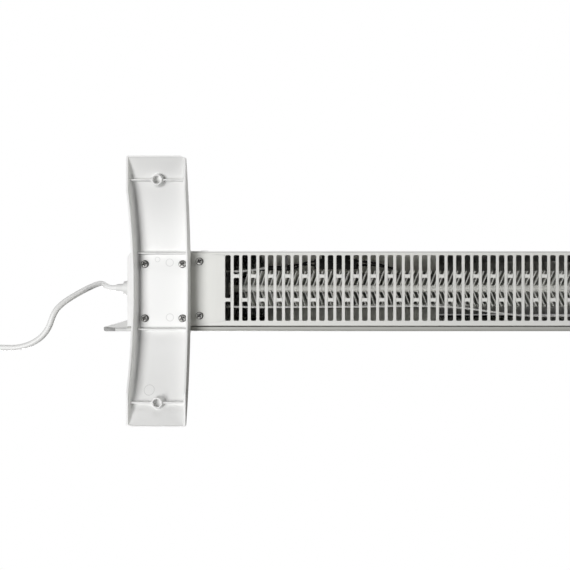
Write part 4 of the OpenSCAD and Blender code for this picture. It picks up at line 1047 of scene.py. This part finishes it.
# %% Sheet metal
grille_shader = Shader("grille_coat", (0.78, 0.78, 0.75), 0.42)
vector = grille_shader.spot()
grille_shader.bump(grille_shader.noise(vector, 900.0), 0.12)
grille_shader.link(grille_shader.noise(vector, 40.0, 3.0) * 0.1 + 0.38, "Roughness")
zinc = Shader("galvanised", (0.88, 0.88, 0.83), 0.5, 0.05)
spangles_per_m = 110.0
spangle = zinc.node("TexVoronoi", (), {"Vector": zinc.spot(), "Scale": spangles_per_m}, "Color")
shade = zinc.node("SeparateColor", (), {"Color": spangle}, "Red")
zinc.link(zinc.mix(shade, (0.86, 0.86, 0.81), (0.95, 0.95, 0.9)), "Base Color")
zinc.link(shade * 0.2 + 0.32, "Roughness")
print("crystals of the zinc: about", round(1 / (spangles_per_m * MM)), "mm across")

# %% [markdown]
# The other CAD pieces are shown as they are. Each has a slot that names its material, and the
# table gives every slot its finish. Three brackets get a darker one, painted shade for how dark
# they look through the slots.

# %% Finishes of the CAD pieces
finishes = {
    "grille_sheet": grille_shader.material,
    "case_sheet": plain("case_coat", (0.82, 0.82, 0.81), 0.4, grain=0.12, spread=0.04),
    "front_sheet": plain("front_coat", (0.46, 0.46, 0.43), 0.45, grain=0.04, spread=0.03),
    "cap_plastic": plain("cap_plastic", (0.84, 0.84, 0.83), 0.45, grain=0.15, scale=600, spread=0.04),
    "galvanised": zinc.material,
    "fin_aluminium": plain("fin_aluminium", (0.92, 0.92, 0.88), 0.55, 0.1, grain=0.2, scale=500,
                           spread=0.08),
    "bright_steel": plain("bright_steel", (0.6, 0.6, 0.6), 0.3, 1.0, spread=0.08),
    "rod_steel": plain("rod_steel", (0.3, 0.29, 0.28), 0.45, 0.9),
    "ceramic": plain("ceramic", (0.8, 0.78, 0.72), 0.6, grain=0.2, scale=600),
    "black_plastic": black_moulding,
    "brass_part": plain("brass_part", (0.72, 0.53, 0.22), 0.35, 1.0, spread=0.1),
    "control_sheet": plain("control_sheet", (0.62, 0.63, 0.64), 0.4, grain=0.05),
    "knob_plastic": plain("knob_plastic", (0.8, 0.8, 0.79), 0.35, grain=0.05),
    "lamp_plastic": plain("lamp_plastic", (0.75, 0.12, 0.02), 0.15),
    "white_wire": white_sleeve,
    "black_wire": black_sleeve,
    "brown_wire": plain("brown_sleeve", (0.16, 0.07, 0.03), 0.4),
    "cord_sheath": sheath,
    "plug_plastic": white_moulding,
    "plug_pin": plain("plug_pin", (0.62, 0.6, 0.56), 0.25, 1.0, spread=0.05),
    "foot_plastic": foot_shader.material,
    "screw_steel": screw_metal.material,
}
for row in frame["record"]["subparts"]:
    node = nodes[row["node"]]
    node.data.materials.clear()
    node.data.materials.append(finishes[row["material_slot"]])
# Painted shade: the brackets are made near black, where little light reaches them.
zinc_painted_shade = plain("zinc_painted_shade", (0.12, 0.12, 0.12), 0.6, 0.3, grain=0.1)
for name in ("element_bracket_right", "element_bracket_left", "cutout_bracket"):
    nodes[name].data.materials[0] = zinc_painted_shade
print("finishes:", len(finishes))

# %% [markdown]
# Folded sheet and moulded caps have soft edges too. The CAD meshes are loose triangles, so a
# Weld modifier joins them first, and a Bevel modifier then rounds what is sharper than 40
# degrees.

# %% Soft edges
bevel_mm = {"front_panel": 0.35, "end_cap_right": 0.5, "end_cap_left": 0.5, "control_plate": 0.25,
            "bottom_grille": 0.15, "switch_housings": 0.3}
for name, width in bevel_mm.items():
    seams = nodes[name].modifiers.new("seams", "WELD")
    seams.merge_threshold = 0.01 * MM
    edges = nodes[name].modifiers.new("edges", "BEVEL")
    edges.width = width * MM
    edges.segments = 2
    edges.limit_method = "ANGLE"
    edges.angle_limit = math.radians(40)
print("pieces with soft edges:", len(bevel_mm))

# %% [markdown]
# The heater is lit from below, like a picture made on a glass table: one large lamp gives the
# shadows, and two weak ones open them. Two more light it from above for views from there. One
# lamp above the heater would leave everything in this picture dark.

# %% Lamps


def lamp(name, at, aim, size, power, color=(1, 1, 1)):
    """A square lamp turned so that its -Z axis points from its place to the aim."""
    data = bpy.data.lights.new(name, "AREA")
    data.size = size
    data.energy = power
    data.color = color
    light = bpy.data.objects.new(name, data)
    light.location = at
    light.rotation_euler = (Vector(aim) - Vector(at)).to_track_quat("-Z", "Y").to_euler()
    bpy.context.scene.collection.objects.link(light)


lamp("key_below", (1.4, -0.4, -2.75), (0.12, 0, 0.05), 1.7, 80)
lamp("low_fill", (-2.2, 0, -0.42), (0.25, 0, 0.02), 0.5, 12, (1, 1, 0.94))
lamp("rear_fill", (0.2, 2.2, -0.5), (0.1, 0, 0.02), 0.6, 9)
lamp("key_above", (1.8, -2.6, 3.0), (0, 0, 0.2), 1.8, 150)
lamp("back_above", (-1.6, 2.8, 2.6), (0, 0, 0.2), 2.4, 110)
print("lamps:", len(bpy.data.lights))

# %% [markdown]
# The background is white because the camera's own rays see a white world. All other rays see
# a dim room, so the white adds no light to the heater.

# %% Background
room_strength = 0.045
world = bpy.data.worlds.new("room")
bpy.context.scene.world = world
world.use_nodes = True
world.node_tree.nodes.clear()
sky = NodeTools(world.node_tree)
seen = sky.node("Background", (), {"Color": (1, 1, 1, 1), "Strength": 1.0})
room = sky.node("Background", (), {"Color": (1, 1, 1, 1), "Strength": room_strength})
camera_ray = sky.node("LightPath", output="Is Camera Ray")
sky.node("OutputWorld", (), {"Surface": sky.node("MixShader", (), {0: camera_ray, 1: room, 2: seen})})
bpy.context.scene.view_settings.view_transform = "Standard"
print("world strength off the camera's rays:", room_strength)

# %% [markdown]
# Seen from above, the heater needs a floor to stand on. From below, the floor lets sight and
# light through, as the glass of the table does. It fades out away from the heater, so that no
# edge of it shows.

# %% Floor
floor_half = 3
floor_z = -0.0002
fade_start = 0.75
fade_end = 1.5
floor_mesh = bpy.data.meshes.new("floor")
floor_corners = [(x * floor_half, y * floor_half, floor_z) for x, y in ((-1, -1), (1, -1), (1, 1), (-1, 1))]
floor_mesh.from_pydata(floor_corners, [], [(0, 1, 2, 3)])
floor = bpy.data.objects.new("floor", floor_mesh)
bpy.context.scene.collection.objects.link(floor)
floor_shader = Shader("floor", (0.9, 0.9, 0.9), 0.7)
behind = floor_shader.node("NewGeometry", output="Backfacing")
camera_ray = floor_shader.node("LightPath", output="Is Camera Ray")
x, y, z = floor_shader.axes(floor_shader.spot())
nearness = floor_shader.node("MapRange", {"clamp": True}, {
    "Value": (x * x + y * y).root(), "From Min": fade_start, "From Max": fade_end,
    "To Min": 1.0, "To Max": 0.0})
clear = floor_shader.node("BsdfTransparent")
surface = Field(floor_shader, floor_shader.surface.outputs["BSDF"])
seen = floor_shader.node("MixShader", (), {0: camera_ray * (1 - behind) * nearness, 1: clear, 2: surface})
floor_shader.tree.links.new(seen.socket, floor_shader.tree.nodes["Material Output"].inputs["Surface"])
floor_mesh.materials.append(floor_shader.material)
print("floor:", 2 * floor_half, "m square")
